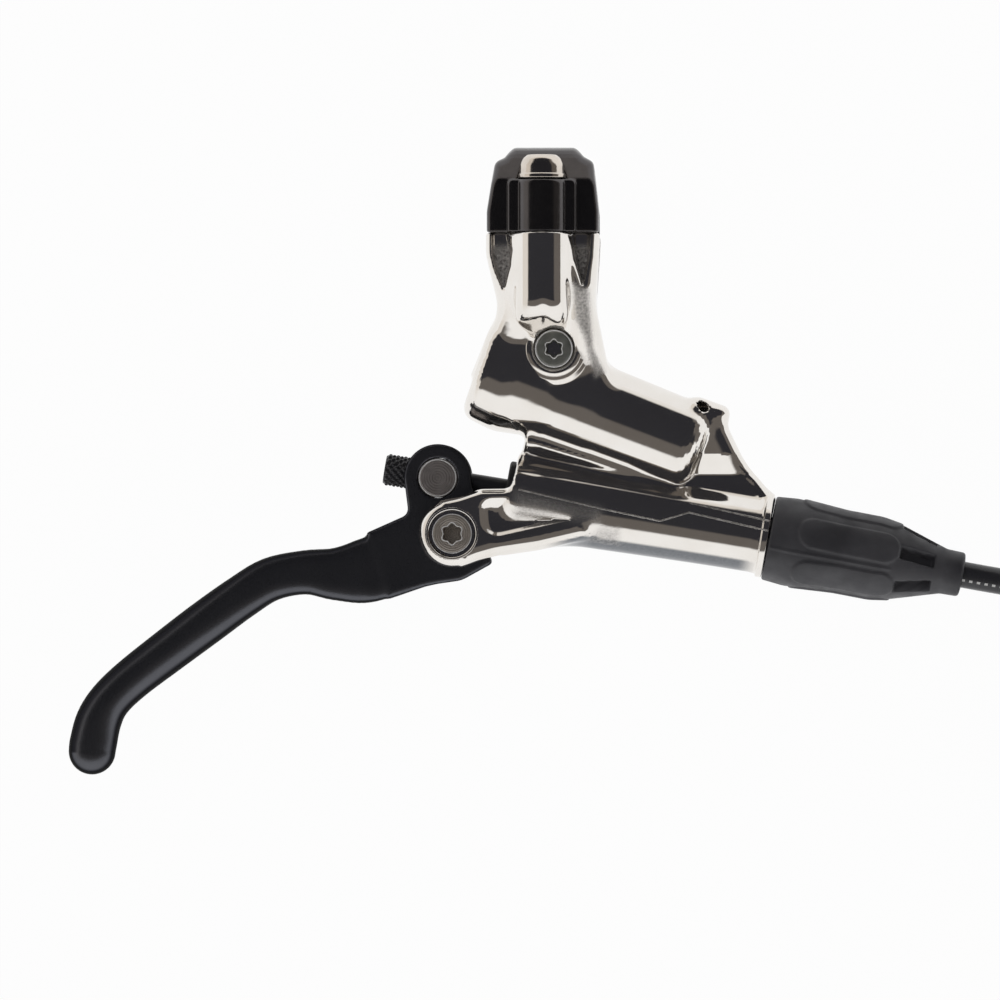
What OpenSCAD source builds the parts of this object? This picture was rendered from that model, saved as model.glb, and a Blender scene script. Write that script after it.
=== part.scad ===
// Lever and master cylinder of a bicycle hydraulic disc brake, with its hose.
// The origin is the centre of the handlebar clamp. X runs along the handlebar,
// Y points from the lever to the handlebar, and Z is the axis of the lever pivot.

/* [Handlebar clamp] */
// Diameter of the handlebar
bar_d = 22.2; // [22.0:0.1:22.4]
// Width of the clamp along the handlebar
clamp_w = 21; // [20:0.5:22]
// Distance of each clamp bolt from the handlebar centre
bolt_z = 16; // [15.6:0.1:16.5]
// Thread diameter of the clamp bolts
bolt_d = 5; // [4.5:0.5:5.5]
// Diameter of the clamp bolt heads
bolt_head_d = 8.8; // [8:0.2:9]
// Gap between the cap and the body at the parting line
clamp_gap = 0.1; // [0.1:0.1:1]
// Height of the cap above the handlebar centre
cap_h = 16.7; // [16.2:0.1:17.5]

/* [Cylinder] */
// Slope of the cylinder against the handlebar, in degrees
barrel_slope = 9.3; // [8.5:0.1:10]
// Length of the cylinder barrel
barrel_l = 49.3; // [48.5:0.1:50]
// Radius of the flange at the hose end
flange_r = 7.7; // [7.4:0.1:8]
// Diameter of the piston bore
bore_d = 9.5; // [9:0.1:9.6]
// How far the bore lies above the middle of the barrel
bore_rise = 1.1; // [1:0.1:1.3]
// Extra slope of the hose port against the cylinder, in degrees
port_tilt = 1.5; // [1:0.1:2]

/* [Reservoir] */
// Slope of the reservoir against the handlebar, in degrees
reservoir_slope = 21; // [20:0.5:22]
// Length of the reservoir
reservoir_l = 43.5; // [42:0.5:45]
// Radius of the reservoir near its open end
reservoir_r = 9.8; // [9.4:0.1:9.9]
// Radius of the space inside the reservoir
chamber_r = 6.8; // [6.4:0.1:7]

/* [Lever] */
// Distance between the inner faces of the fork ears
fork_gap = 11.2; // [11:0.1:11.4]
// Distance between the outer faces of the fork ears
fork_w = 16.6; // [16.2:0.1:17]
// Thickness of the lever between the ears
lever_t = 10.8; // [10.4:0.1:10.8]
// Diameter of the cross pin that carries the push rod
pin_d = 7.5; // [7:0.1:7.6]
// Diameter of the pivot bolt
pivot_d = 5; // [4.5:0.1:5]
// Diameter of the push rod
rod_d = 3.8; // [3.4:0.1:3.8]
// Diameter of the reach knob
knob_d = 6.1; // [5.8:0.1:6.2]

/* [Hose] */
// Outer diameter of the hose
hose_d = 5; // [4.8:0.1:5.2]
// Length of the rubber boot over the hose nut
boot_l = 37.7; // [37:0.1:38.5]

/* [Hidden] */
$fn = 64;

bar_r = bar_d / 2;
bore_r = bore_d / 2;
hose_r = hose_d / 2;
rod_r = rod_d / 2;
pin_r = pin_d / 2;
pivot_r = pivot_d / 2;
knob_r = knob_d / 2;
ear_in = fork_gap / 2;
ear_out = fork_w / 2;
ear_r = 6.5;                     // ear round the lever pivot
web_t = 8;                       // web between reservoir and barrel
lug_t = 8.8;                     // lug at the reservoir's closed end
fit = 0.05;                      // radial play of a running fit
barrel_end = [42.6, -57.5];      // middle of the flange at the hose end
reservoir_end = [-11.9, -24.8];  // middle of the reservoir's open end
pivot = [-17.1, -56.7];          // lever pivot, in X and Y
pin_u = -63.5;                   // cross pin along the barrel, from the flange
ball_u = -43.9;                  // ball of the push rod, at rest
bleed = [2.2, -21.8];            // bleed screw, in X and Y
bleed_z = 9.6;                   // seat of the bleed screw
lug_hole = [30.6, -32.5];        // small drilled hole in the lug
seat_y = 10.1;                   // seat of the clamp bolts on the cap
slot_turns = [12:60:312];        // where the boot's slots lie round it
table_z = -21;                   // what the clamp bosses and the hose lie on

// The hose lies in a coil: a ring of four turns, two beside two, with a part turn outside it
coil_mid = [125, -108];
coil_in = 23.5;
coil_out = 33.5;
outer_turn = 31;                 // radius of the ring's outer turns
loop_r = 36;                     // radius of the part turn outside the ring
loop_to = 70;                    // how far that part turn goes round, in degrees
coil_start = 81.5;               // direction in which the hose meets the coil
tie_t = 0.7;                     // thickness of the ties
fitting_at = [164.17, -119.93, -16];
fitting_turn = -78.5;            // direction of the end fitting, from X

function ease(t) = let (s = max(0, min(1, t))) s * s * (3 - 2 * s);
function on_coil(turn, r, z) = [coil_mid[0] + r * cos(coil_start - turn),
    coil_mid[1] + r * sin(coil_start - turn), z];

// Route of the hose from its nut into the ring, and from the ring to the end fitting
hose_route = concat([[33.2, -55.7, 0], [42.6, -57.5, 0], [52.4, -59.4, 0], [61.2, -61.1, 0],
    [70.4, -62.8, 0], [79.6, -64.5, 0], [84, -65.3, -0.35], [88, -66, -1.3], [94, -67.1, -4.1],
    [100, -68.1, -9.3], [106, -69, -14.4], [112, -69.8, -17.4], [118, -70.6, -18.4],
    [124, -71.5, -18.5]], [for (m = [0:12:120]) let (k = ease((m - loop_to) / 60))
        on_coil(m, loop_r - (loop_r - outer_turn) * k, -18.5 + tie_t * k)]);
tail_route = concat([for (m = [-50:12:70]) let (k = ease((m + 50) / 60))
        on_coil(m, outer_turn + (loop_r - outer_turn) * k, -12.8 - 0.6 * k)],
    [[161.27, -105.72, -13.5], [162.27, -110.62, -14.0], [163.27, -115.52, -15.0],
    [164.17, -119.93, -15.9], [165.16, -124.83, -16]]);

// Lever blade: middle line in X and Y, half width in the plane, half depth along Z
blade_stations = [[-24.5, -60.2, 6.2, 5.2], [-30.5, -62.8, 6.2, 5.2], [-34.7, -64.0, 6.0, 5.2],
    [-39.5, -64.4, 5.0, 5.1], [-45.2, -64.1, 4.2, 5.1], [-51.7, -65.4, 4.15, 5.3],
    [-57.2, -68.7, 4.2, 5.5], [-64.0, -73.6, 4.3, 5.5], [-71.2, -79.0, 4.2, 5.3],
    [-78.3, -84.5, 4.05, 5.1], [-82.4, -88.5, 4.05, 5.0], [-84.6, -92.3, 4.35, 4.8],
    [-85.6, -96.4, 4.55, 4.6], [-86.0, -99.4, 4.2, 4.1], [-86.1, -101.5, 2.8, 2.8],
    [-86.1, -102.5, 1.1, 1.1]];

function unit(v) = v / norm(v);
function signed_power(x, p) = sign(x) * pow(abs(x), p);
function wrap(a) = a > 180 ? a - 360 : a < -180 ? a + 360 : a;

// Corner b between a and c, rounded with radius r into n steps
function corner_arc(a, b, c, r, n) = r == 0 ? [b] :
    let (p = unit(a - b), q = unit(c - b), half = acos(p * q) / 2,
        mid = b + unit(p + q) * r / sin(half),
        s = b + p * r / tan(half) - mid, e = b + q * r / tan(half) - mid,
        a0 = atan2(s[1], s[0]), turn = wrap(atan2(e[1], e[0]) - a0))
    [for (i = [0:n]) mid + r * [cos(a0 + turn * i / n), sin(a0 + turn * i / n)]];

// Outline through corners given as [x, y, radius]
function rounded(c, n = 6) = let (m = len(c), p = [for (k = c) [k[0], k[1]]])
    [for (i = [0:m - 1]) each corner_arc(p[(i + m - 1) % m], p[i], p[(i + 1) % m], c[i][2], n)];

// Smooth curve through points of any size, n steps from each to the next
function curve_point(a, b, c, d, t) = b + (c - a) * t / 2
    + (2 * a - 5 * b + 4 * c - d) * t * t / 2 + (3 * b - a - 3 * c + d) * t * t * t / 2;
function curve(p, n) = let (m = len(p) - 1)
    [for (i = [0:m - 1]) for (k = [0:n - 1])
        curve_point(p[max(i - 1, 0)], p[i], p[i + 1], p[min(i + 2, m)], k / n), p[m]];

function heading(p, i) = unit(p[min(i + 1, len(p) - 1)] - p[max(i - 1, 0)]);

// Round ring of n points about point i of path p, level with the direction up
function tube_ring(p, i, r, n, up) = let (t = heading(p, i), a = unit(cross(up, t)), b = cross(t, a))
    [for (k = [0:n - 1]) p[i] + r * (cos(360 * k / n) * a + sin(360 * k / n) * b)];

// Skin over rings of n points each, closed at both ends
module skin(rings) {
    m = len(rings);
    n = len(rings[0]);
    polyhedron(points = [for (r = rings) each r], faces = concat(
        [[for (k = [0:n - 1]) k], [for (k = [n - 1:-1:0]) (m - 1) * n + k]],
        [for (i = [0:m - 2], k = [0:n - 1]) let (a = i * n + k, b = i * n + (k + 1) % n)
            each [[a, a + n, b], [b, a + n, b + n]]]));
}

module tube(path, r, n, up) skin([for (i = [0:len(path) - 1]) tube_ring(path, i, r, n, up)]);

// Frames: along the barrel, along the hose port, along the reservoir, along a clamp bolt
module in_barrel() translate(barrel_end) rotate(-barrel_slope) children();
module in_port() translate(barrel_end) rotate(-barrel_slope - port_tilt) children();
module in_reservoir() translate(reservoir_end) rotate(-reservoir_slope) children();
module at_bolts() for (s = [-1, 1]) translate([0, 0, s * bolt_z]) children();

// Solid of revolution about X from an outline of [distance along X, radius]
module turned(outline) rotate([0, 90, 0]) rotate([0, 0, 90]) rotate_extrude()
    polygon([for (p = outline) [p[1], p[0]]]);

// Round bar along X from x0 to x1
module bar(x0, x1, r) translate([x0, 0, 0]) rotate([0, 90, 0]) cylinder(h = x1 - x0, r = r);

// Round bar along Y from y0 up to y1
module post(y0, y1, r) translate([0, y0, 0]) rotate([-90, 0, 0]) cylinder(h = y1 - y0, r = r);

// Plate of an outline in X and Y, from z0 to z1
module plate(outline, z0, z1) translate([0, 0, z0]) linear_extrude(z1 - z0) polygon(outline);

// Outline moved inwards by d; its corners go round clockwise
function inset(o, d) = let (m = len(o))
    [for (i = [0:m - 1]) let (a = unit(o[i] - o[(i + m - 1) % m]), b = unit(o[(i + 1) % m] - o[i]),
        n = unit([a[1] + b[1], -a[0] - b[0]])) o[i] + n * d / max(0.5, n * [a[1], -a[0]])];

// Plate of a clockwise outline about z = 0 whose long edges are rounded off
module soft_plate(outline, half, edge) skin([for (k = [[half, 1], [half - 0.3 * edge, 0.3],
    [half - edge, 0], [edge - half, 0], [0.3 * edge - half, 0.3], [-half, 1]])
    [for (p = inset(outline, edge * k[1])) [p[0], p[1], k[0]]]]);

// Round disc about z = 0 with rounded edges
module button(r, half, edge) rotate_extrude()
    polygon(rounded([[0, -half, 0], [r, -half, edge], [r, half, edge], [0, half, 0]]));

// Plate of an outline in Z and Y, spread over a width along X
module side_plate(outline, w) translate([w / 2, 0, 0]) rotate([0, -90, 0]) linear_extrude(w)
    polygon(outline);

// Socket with six rounded points, cut downwards from z = 0
module star_socket(r, depth) translate([0, 0, -depth]) linear_extrude(depth + 1) union() {
    circle(r = r * 0.8, $fn = 24);
    for (i = [0:5]) rotate(60 * i) translate([r * 0.78, 0]) circle(r = r * 0.22, $fn = 16);
}

// Outlines of the body seen from the front
neck_front = rounded([[-10.3, 0, 0], [-10.3, -4, 8], [-7.9, -14.4, 8], [-13, -26.5, 0], [-6, -36, 0],
    [17, -32, 0], [15.5, -26.0, 0], [11.9, -24.2, 3], [9.8, -14, 14], [10.7, 0, 0]]);
neck_side = rounded([[15.6, 0, 0], [15.6, -7.5, 5], [8.6, -17.5, 7], [6.6, -36, 0],
    [-6.6, -36, 0], [-8.6, -17.5, 7], [-15.6, -7.5, 5], [-15.6, 0, 0]]);
web_front = rounded([[-3.4, -33, 0], [-3.4, -39, 5], [-5.9, -48.2, 0], [-4, -56, 0], [25, -56, 0],
    [25, -40, 0]]);
lug_front = rounded([[22, -30.8, 0], [28.6, -30.1, 3], [35.7, -32.9, 1.8], [35.1, -36.4, 3],
    [38.1, -42.6, 12], [43.7, -49.4, 0], [42.6, -54, 0], [22, -50, 0]]);
ear_front = rounded([[-19.3, -50.6, 0], [-11.7, -48.1, 3], [-5, -48.0, 0], [2, -49, 0],
    [9.6, -53.4, 2], [9.2, -57.6, 2], [-0.8, -59.9, 20], [-8.9, -61.1, 20], [-15.4, -63.0, 0]]);
ear_hollow = rounded([[-12.4, -49.6, 4.2], [-11.8, -58.6, 3.6], [8.6, -54.0, 0.7], [-5.8, -51.6, 3],
    [-6.4, -49.4, 1.2]]);
lug_hollow = rounded([[38.2, -44.4, 0.5], [41.2, -49.6, 0.6], [33.2, -48.0, 1]]);
pocket_left = [[-9.2, 1], [-6.5, 1], [-6.3, -5], [-7.2, -10], [-9.3, -4.5]];
pocket_right = [[9.3, 1], [6.0, 1], [6.2, -5], [8.0, -10.5], [9.2, -4.5]];

// Barrel, slightly waisted, with a flange at the hose end
barrel_profile = concat([[-barrel_l, 0], [-barrel_l, 7.2], [-barrel_l + 0.4, 7.6]],
    [for (i = [1:8]) [-barrel_l + i * 5.8, 7.3 + 0.3 * cos(i * 22.5)]],
    [[-1.6, 7.1], [-1.3, flange_r], [-0.3, flange_r], [0, flange_r - 0.3], [0, 0]]);
reservoir_profile = rounded([[-0.2, 0, 0], [-0.2, reservoir_r + 0.3, 2.6], [6.5, reservoir_r + 1, 8],
    [15, 8.9, 12], [reservoir_l, 8.2, 6.5], [reservoir_l, 0, 0]]);

module body_solid() {
    in_barrel() turned(barrel_profile);
    in_reservoir() turned(reservoir_profile);
    intersection() {
        plate(neck_front, -30, 30);
        side_plate([for (p = neck_side) [p[0], p[1]]], 60);
    }
    at_bolts() turned_post([[-14.2, 0, 0], [-14.2, 5, 2.4], [0, 5, 0], [0, 0, 0]]);
    plate(web_front, -web_t / 2, web_t / 2);
    soft_plate(lug_front, lug_t / 2, 1.4);
    soft_plate(ear_front, ear_out, 0.9);
    translate([pivot[0], pivot[1], 0]) button(ear_r, ear_out, 0.9);
    translate([bleed[0], bleed[1], 0]) for (k = [0:3])
        cylinder(h = bleed_z - 0.45 * k, r = 4.7 + 0.75 * k);
}

// Solid of revolution about Y from corners of [distance along Y, radius, rounding]
module turned_post(corners) rotate([-90, 0, 0]) rotate_extrude()
    polygon([for (p = rounded(corners)) [p[1], p[0]]]);

module master_cylinder_body() color("silver") difference() {
    body_solid();
    // Handlebar, parting line and clamp bolt threads
    bar(-30, 30, bar_r);
    translate([-30, -clamp_gap / 2, -30]) cube([60, 20, 60]);
    at_bolts() post(-12.5, 1, bolt_d / 2);
    // Pockets beside the bolt bosses, front and back
    for (s = [0, 1]) mirror([0, 0, s]) {
        plate(pocket_left, 12.5, 30);
        plate(pocket_right, 12.5, 30);
        plate(ear_hollow, ear_out - 1.3, 30);
        plate(lug_hollow, 1.6, 30);
    }
    // Fork slot, open towards the lever
    in_barrel() translate([-90, -30, -ear_in]) cube([90 - barrel_l, 39.5, fork_gap]);
    // Piston bore with its circlip groove and outlet
    in_barrel() translate([0, bore_rise, 0]) {
        bar(-barrel_l - 1, -12, bore_r);
        bar(-48.2, -47.2, bore_r + 0.6);
        bar(-14, -8, 1);
    }
    in_port() bar(-10, 1, 3.9);
    // Reservoir, ports to the bore, and seat of its plug
    in_reservoir() {
        bar(3, reservoir_l - 5, chamber_r);
        bar(-1, 4, 7.5);
    }
    in_barrel() for (u = [-33, -27.5]) translate([u, bore_rise, 0]) post(0, 12, 0.7);
    // Pivot bolt
    translate([pivot[0], pivot[1], -20]) cylinder(h = 40, r = pivot_r + fit);
    translate([pivot[0], pivot[1], ear_out - 1.6]) cylinder(h = 5, r = 4.6);
    translate([pivot[0], pivot[1], -ear_out - 5]) cylinder(h = 5 + 1.4, r = 4.4);
    // Bleed port
    translate([bleed[0], bleed[1], 2]) cylinder(h = 20, r = 2.5);
    translate([bleed[0], bleed[1], bleed_z - 0.9]) cylinder(h = 5, r = 3.9);
    // Drilled hole in the lug
    translate([lug_hole[0], lug_hole[1], 1]) rotate([0, 35, 0]) cylinder(h = 20, r = 0.9, $fn = 24);
}

module reservoir_plug() color("silver") in_reservoir() difference() {
    union() {
        bar(0.4, 3.8, 7.4);
        bar(3.8, 6.2, chamber_r - 1.8);
    }
    translate([-0.01, 0, 0]) for (a = [0, 180]) rotate([a, 0, 0]) translate([0, 4.4, 0]) bar(0, 1.8, 1);
}

module reservoir_bladder() color("dimgray") in_reservoir() difference() {
    turned(rounded([[4.2, 0, 0], [4.2, 6.4, 0.4], [33, 6.0, 4], [33, 0, 0]]));
    bar(4, 30.5, 5.1);
}

module bleed_screw() color("black") translate([bleed[0], bleed[1], 0]) difference() {
    union() {
        translate([0, 0, 3.4]) cylinder(h = bleed_z - 3.4, r = 2.4);
        translate([0, 0, bleed_z - 0.4]) cylinder(h = 1.0, r = 3.5);
        translate([0, 0, bleed_z + 0.6]) cylinder(h = 0.4, r1 = 3.5, r2 = 3.1);
    }
    translate([0, 0, bleed_z + 1.01]) star_socket(1.85, 1.9);
}

module bleed_seal() color("dimgray") translate([bleed[0], bleed[1], bleed_z - 0.9]) difference() {
    cylinder(h = 0.5, r = 3.6);
    translate([0, 0, -1]) cylinder(h = 3, r = 2.45);
}

// Outlines of the cap from the front, in X and Y, and from the side, in Z and Y
cap_front = rounded([[-clamp_w / 2 + 0.1, 0, 0], [-clamp_w / 2 + 0.1, 4, 6], [-8.9, 13.4, 1.6],
    [-7.1, 14.3, 1], [-5.4, cap_h, 1.2], [6.2, cap_h, 1.2], [7.8, 14.5, 1], [9.7, 13.4, 1.6],
    [clamp_w / 2 + 0.2, 4, 6], [clamp_w / 2 + 0.2, 0, 0]]);
cap_side = rounded([[15.6, 0, 0], [15.6, 9.5, 3], [9.6, cap_h, 7], [-9.6, cap_h, 7],
    [-15.6, 9.5, 3], [-15.6, 0, 0]]);

module clamp_cap() color("black") difference() {
    union() {
        intersection() {
            plate(cap_front, -30, 30);
            side_plate(cap_side, 60);
        }
        at_bolts() post(0, seat_y, 4.7);
        at_bolts() translate([-5.8, 0, -3.4]) cube([11.6, 8.6, 6.8]);
    }
    bar(-30, 30, bar_r);
    translate([-30, -20, -30]) cube([60, 20 + clamp_gap / 2, 60]);
    at_bolts() {
        post(-1, 20, bolt_d / 2 + 0.15);
        post(seat_y, 30, 4.7);
    }
}

module clamp_bolts() color("lightsteelblue") at_bolts() difference() {
    union() {
        post(-11, seat_y + 1, bolt_d / 2 - 0.05);
        translate([0, seat_y, 0]) turned_post([[0, 0, 0], [0, bolt_head_d / 2, 0.3],
            [1.6, bolt_head_d / 2, 3], [4.4, 3.7, 1.6], [4.4, 0, 0]]);
    }
    translate([0, seat_y + 4.4, 0]) rotate([-90, 0, 0]) star_socket(2.2, 2.4);
}

module pivot_bolt() color("#5a5048") translate([pivot[0], pivot[1], 0]) difference() {
    union() {
        translate([0, 0, -ear_out + 0.6]) cylinder(h = fork_w - 2, r = pivot_r);
        translate([0, 0, ear_out - 1.55]) cylinder(h = 1.2, r = 3.85);
        translate([0, 0, ear_out - 0.35]) cylinder(h = 0.35, r1 = 3.85, r2 = 3.5);
    }
    translate([0, 0, ear_out]) star_socket(2.2, 2.2);
}

module pivot_nut() color("#5a5048") translate([pivot[0], pivot[1], -ear_out - 0.6]) difference() {
    cylinder(h = 1.95, r = 4.2);
    translate([0, 0, 1.1]) cylinder(h = 3, r = pivot_r + 0.02);
    translate([0, 0, 0.01]) mirror([0, 0, 1]) star_socket(1.9, 0.9);
}

module circlip() color("gray") in_barrel() translate([0, bore_rise, 0]) difference() {
    bar(-48.1, -47.3, bore_r + 0.5);
    bar(-49, -46, 3.4);
    translate([-49, 1.5, -1]) cube([4, 6, 2]);
}

module dust_wiper() color("dimgray") in_barrel() translate([0, bore_rise, 0]) difference() {
    turned(rounded([[-barrel_l - 1.1, 0, 0], [-barrel_l - 1.1, 5.4, 0.5], [-barrel_l - 0.02, 5.4, 0],
        [-barrel_l - 0.02, bore_r - 0.05, 0], [-48.3, bore_r - 0.05, 0.3], [-48.3, 0, 0]]));
    bar(-60, -40, 3.1);
}

module hose_nut() color("dimgray") in_port() difference() {
    union() {
        bar(-6.4, 1, 3.85);
        translate([0.15, 0, 0]) rotate([0, 90, 0]) cylinder(h = 4.5, r = 4.62, $fn = 6);
    }
    bar(-8, 6, hose_r + 0.2);
}

module hose_olive() color("gold") in_port() difference() {
    turned([[-9.2, 0], [-9.2, 2.9], [-8.6, 3.4], [-7.2, 3.4], [-6.5, 2.9], [-6.5, 0]]);
    bar(-10, -6, hose_r + 0.06);
}

module hose_barb() color("gold") in_port() difference() {
    union() {
        bar(-9.9, -9.5, 2.5);
        turned([[-9.5, 0], [-9.5, 1.2], [-4, 1.2], [-3, 0.9], [-3, 0]]);
    }
    bar(-11, 0, 0.6);
}

// Outline of the boot, moved outwards by d
function boot_outline(d) = rounded([[0.3, 0, 0], [0.3, 7.9 + d, 0.4], [4.6, 8.35 + d, 8], [14, 7.7 + d, 14],
    [21, 7.7 + d, 10], [25, 7.0 + d, 8], [34.2, 4.3 + d, 2], [boot_l - 0.2, 4.2 + d, 0.7], [boot_l, 0, 0]]);

module hose_boot() color("#2e2d2c") in_port() difference() {
    union() {
        turned(boot_outline(0));
        // Raised pads, one behind each slot
        intersection() {
            turned(boot_outline(0.3));
            for (a = slot_turns) rotate([a, 0, 0]) {
                translate([8.5, 0, -3]) cube([13.5, 12, 6]);
                for (x = [8.5, 22]) translate([x, 0, 0]) rotate([-90, 0, 0]) cylinder(h = 12, r = 3);
            }
        }
    }
    turned([[-1, 0], [-1, 6.6], [12, 6.6], [20, 5.2], [29, hose_r + 0.1], [50, hose_r + 0.1],
        [50, 0]]);
    // Slots between the ribs of the strain relief
    for (a = slot_turns) rotate([a, 0, 0]) translate([25.2, 3.1, -1.3]) cube([6.6, 12, 2.6]);
}

module hose() color("#222222") tube(curve(hose_route, 2), hose_r, 10, [0, 0, 1]);

module hose_coil() color("#222222") translate([coil_mid[0], coil_mid[1], table_z + tie_t])
    rotate_extrude() polygon(rounded([[coil_in, 0, 2], [coil_out, 0, 2],
        [coil_out, 2 * hose_d, 2], [coil_in, 2 * hose_d, 2]]));

module hose_tail() color("#222222") tube(curve(tail_route, 2), hose_r, 10, [0, 0, 1]);

// Bands round the bundle of turns
module hose_ties() color("#303030") for (a = [160, 220, 280])
    translate([coil_mid[0], coil_mid[1], table_z]) rotate(a) difference() {
        translate([coil_in - tie_t, -2, 0])
            cube([coil_out - coil_in + 2 * tie_t, 4, 2 * hose_d + 2 * tie_t]);
        translate([coil_in - 0.15, -3, tie_t - 0.02])
            cube([coil_out - coil_in + 0.17, 6, 2 * hose_d + 0.04]);
    }

module hose_end_fitting() color("lightsteelblue") translate(fitting_at) rotate(fitting_turn)
    difference() {
        union() {
            bar(0, 11, 3.7);
            translate([11, 0, 0]) rotate([0, 90, 0]) rotate(30) cylinder(h = 5, r = 5.77, $fn = 6);
            turned([[15.5, 0], [15.5, 3.6], [23, 3.6], [23.4, 3.0], [25, 2.2], [25, 0]]);
        }
        bar(-1, 8, hose_r + 0.1);
        bar(7, 30, 1);
    }

// Lever root between the fork ears, with the boss for the cross pin
pin_xy = [barrel_end[0] + pin_u * cos(barrel_slope) + bore_rise * sin(barrel_slope),
    barrel_end[1] - pin_u * sin(barrel_slope) + bore_rise * cos(barrel_slope)];
lever_root = rounded([[-26.3, -46, 0], [-25.4, -53.2, 2], [-33, -56.6, 0], [-29, -68.4, 0],
    [-22.3, -66.6, 2], [-15.4, -65.6, 5], [-9.6, -62.4, 0.8], [-11.4, -57.5, 2], [-12.6, -50.5, 0],
    [-13.6, -46, 0]]);
// Space for the rod and the knob as the lever swings, from the cross pin
rod_slot = [[14, 12], [14, -4.4], [-4, -4.5], [-14, -6.6], [-14, 12]];

function blade_ring(p, i, n) = let (t = heading([for (q = p) [q[0], q[1], 0]], i),
    w = [-t[1], t[0], 0], round_off = 0.52 + 0.43 * min(1, i / 22))
    [for (k = [0:n - 1]) [p[i][0], p[i][1], 0]
        + w * p[i][2] * signed_power(cos(360 * k / n), round_off)
        + [0, 0, 1] * p[i][3] * signed_power(sin(360 * k / n), round_off)];

module lever_blade() color("#1c1c1e") difference() {
    union() {
        plate(lever_root, -lever_t / 2, lever_t / 2);
        translate([pin_xy[0], pin_xy[1], -lever_t / 2]) cylinder(h = lever_t, r = 6.4);
        translate([pivot[0], pivot[1], -lever_t / 2]) cylinder(h = lever_t, r = 6);
        let (p = curve(blade_stations, 3)) skin([for (i = [0:len(p) - 1]) blade_ring(p, i, 20)]);
    }
    translate([pivot[0], pivot[1], -20]) cylinder(h = 40, r = 3.3);
    translate([pin_xy[0], pin_xy[1], -20]) cylinder(h = 40, r = pin_r + fit);
    translate([pin_xy[0], pin_xy[1], 0]) plate(rod_slot, -knob_r - 0.35, knob_r + 0.35);
}

module pivot_bush() color("peru") translate([pivot[0], pivot[1], -lever_t / 2 - 0.1]) difference() {
    cylinder(h = lever_t + 0.2, r = 3.29);
    translate([0, 0, -1]) cylinder(h = 20, r = pivot_r + fit);
}

module cross_pin() color("#3a3a3c") difference() {
    translate([pin_xy[0], pin_xy[1], 0]) {
        translate([0, 0, -5.1]) cylinder(h = 10.2, r = pin_r);
        for (s = [0, 1]) mirror([0, 0, s]) translate([0, 0, 5]) cylinder(h = 0.4, r = 3.3);
    }
    in_barrel() translate([0, bore_rise, 0]) bar(-80, -40, rod_r + fit);
}

module push_rod() color("#1c1c1e") in_barrel() translate([0, bore_rise, 0]) {
    bar(-69, ball_u - 1, rod_r);
    translate([ball_u, 0, 0]) sphere(r = 2.4);
}

// Knob with a knurled rim, drawn as a ring of small teeth
module reach_knob() color("#1c1c1e") in_barrel() translate([-73.8, bore_rise, 0]) difference() {
    union() {
        rotate([0, 90, 0]) linear_extrude(4.6) polygon([for (i = [0:47])
            (knob_r - 0.25 * (i % 2)) * [cos(i * 7.5), sin(i * 7.5)]]);
        bar(4.6, 5.4, knob_r - 0.6);
    }
    rotate([0, -90, 0]) star_socket(1.3, 1.6);
    bar(4.8, 6, rod_r + 0.01);
}

module piston() color("#c9a227") in_barrel() translate([0, bore_rise, 0]) difference() {
    turned([[-46, 0], [-46, 4.4], [-45.7, bore_r - 0.1], [-43.6, bore_r - 0.1], [-43.6, 3.5],
        [-41.2, 3.5], [-41.2, bore_r - 0.1], [-39, bore_r - 0.1], [-38, 3.4], [-34, 3.4],
        [-33.4, bore_r - 0.1], [-32.6, bore_r - 0.1], [-32.6, 3.4], [-30.2, 3.4],
        [-30.2, 4.3], [-29.4, 4.3], [-29.4, 2.4], [-27, 2.2], [-27, 0]]);
    bar(-50, ball_u, 2.85);
    translate([ball_u, 0, 0]) sphere(r = 2.85);
}

module cup_seal(u0, u1) color("dimgray") in_barrel() translate([0, bore_rise, 0]) difference() {
    turned([[u0, 0], [u0, bore_r - 0.25], [u1 - 0.6, bore_r - 0.02], [u1, bore_r - 0.02], [u1, 0]]);
    bar(u0 - 1, u1 + 1, 3.55);
}
module primary_seal() cup_seal(-32.5, -30.3);
module secondary_seal() cup_seal(-43.5, -41.3);

spring_r = 3.1;
spring_turns = 6;
spring_from = -28.95;
spring_to = -12.45;
module return_spring() color("gray") in_barrel() translate([0, bore_rise, 0])
    tube([for (i = [0:spring_turns * 12]) let (a = i * 30, t = i / (spring_turns * 12))
        [spring_from + (spring_to - spring_from) * t, spring_r * cos(a), spring_r * sin(a)]],
        0.35, 6, [1, 0, 0]);

master_cylinder_body();
reservoir_plug();
reservoir_bladder();
bleed_screw();
bleed_seal();
clamp_cap();
clamp_bolts();
pivot_bolt();
pivot_nut();
circlip();
dust_wiper();
hose_nut();
hose_olive();
hose_barb();
hose_boot();
hose();
hose_coil();
hose_tail();
hose_ties();
hose_end_fitting();
lever_blade();
pivot_bush();
cross_pin();
push_rod();
reach_knob();
piston();
primary_seal();
secondary_seal();
return_spring();
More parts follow.
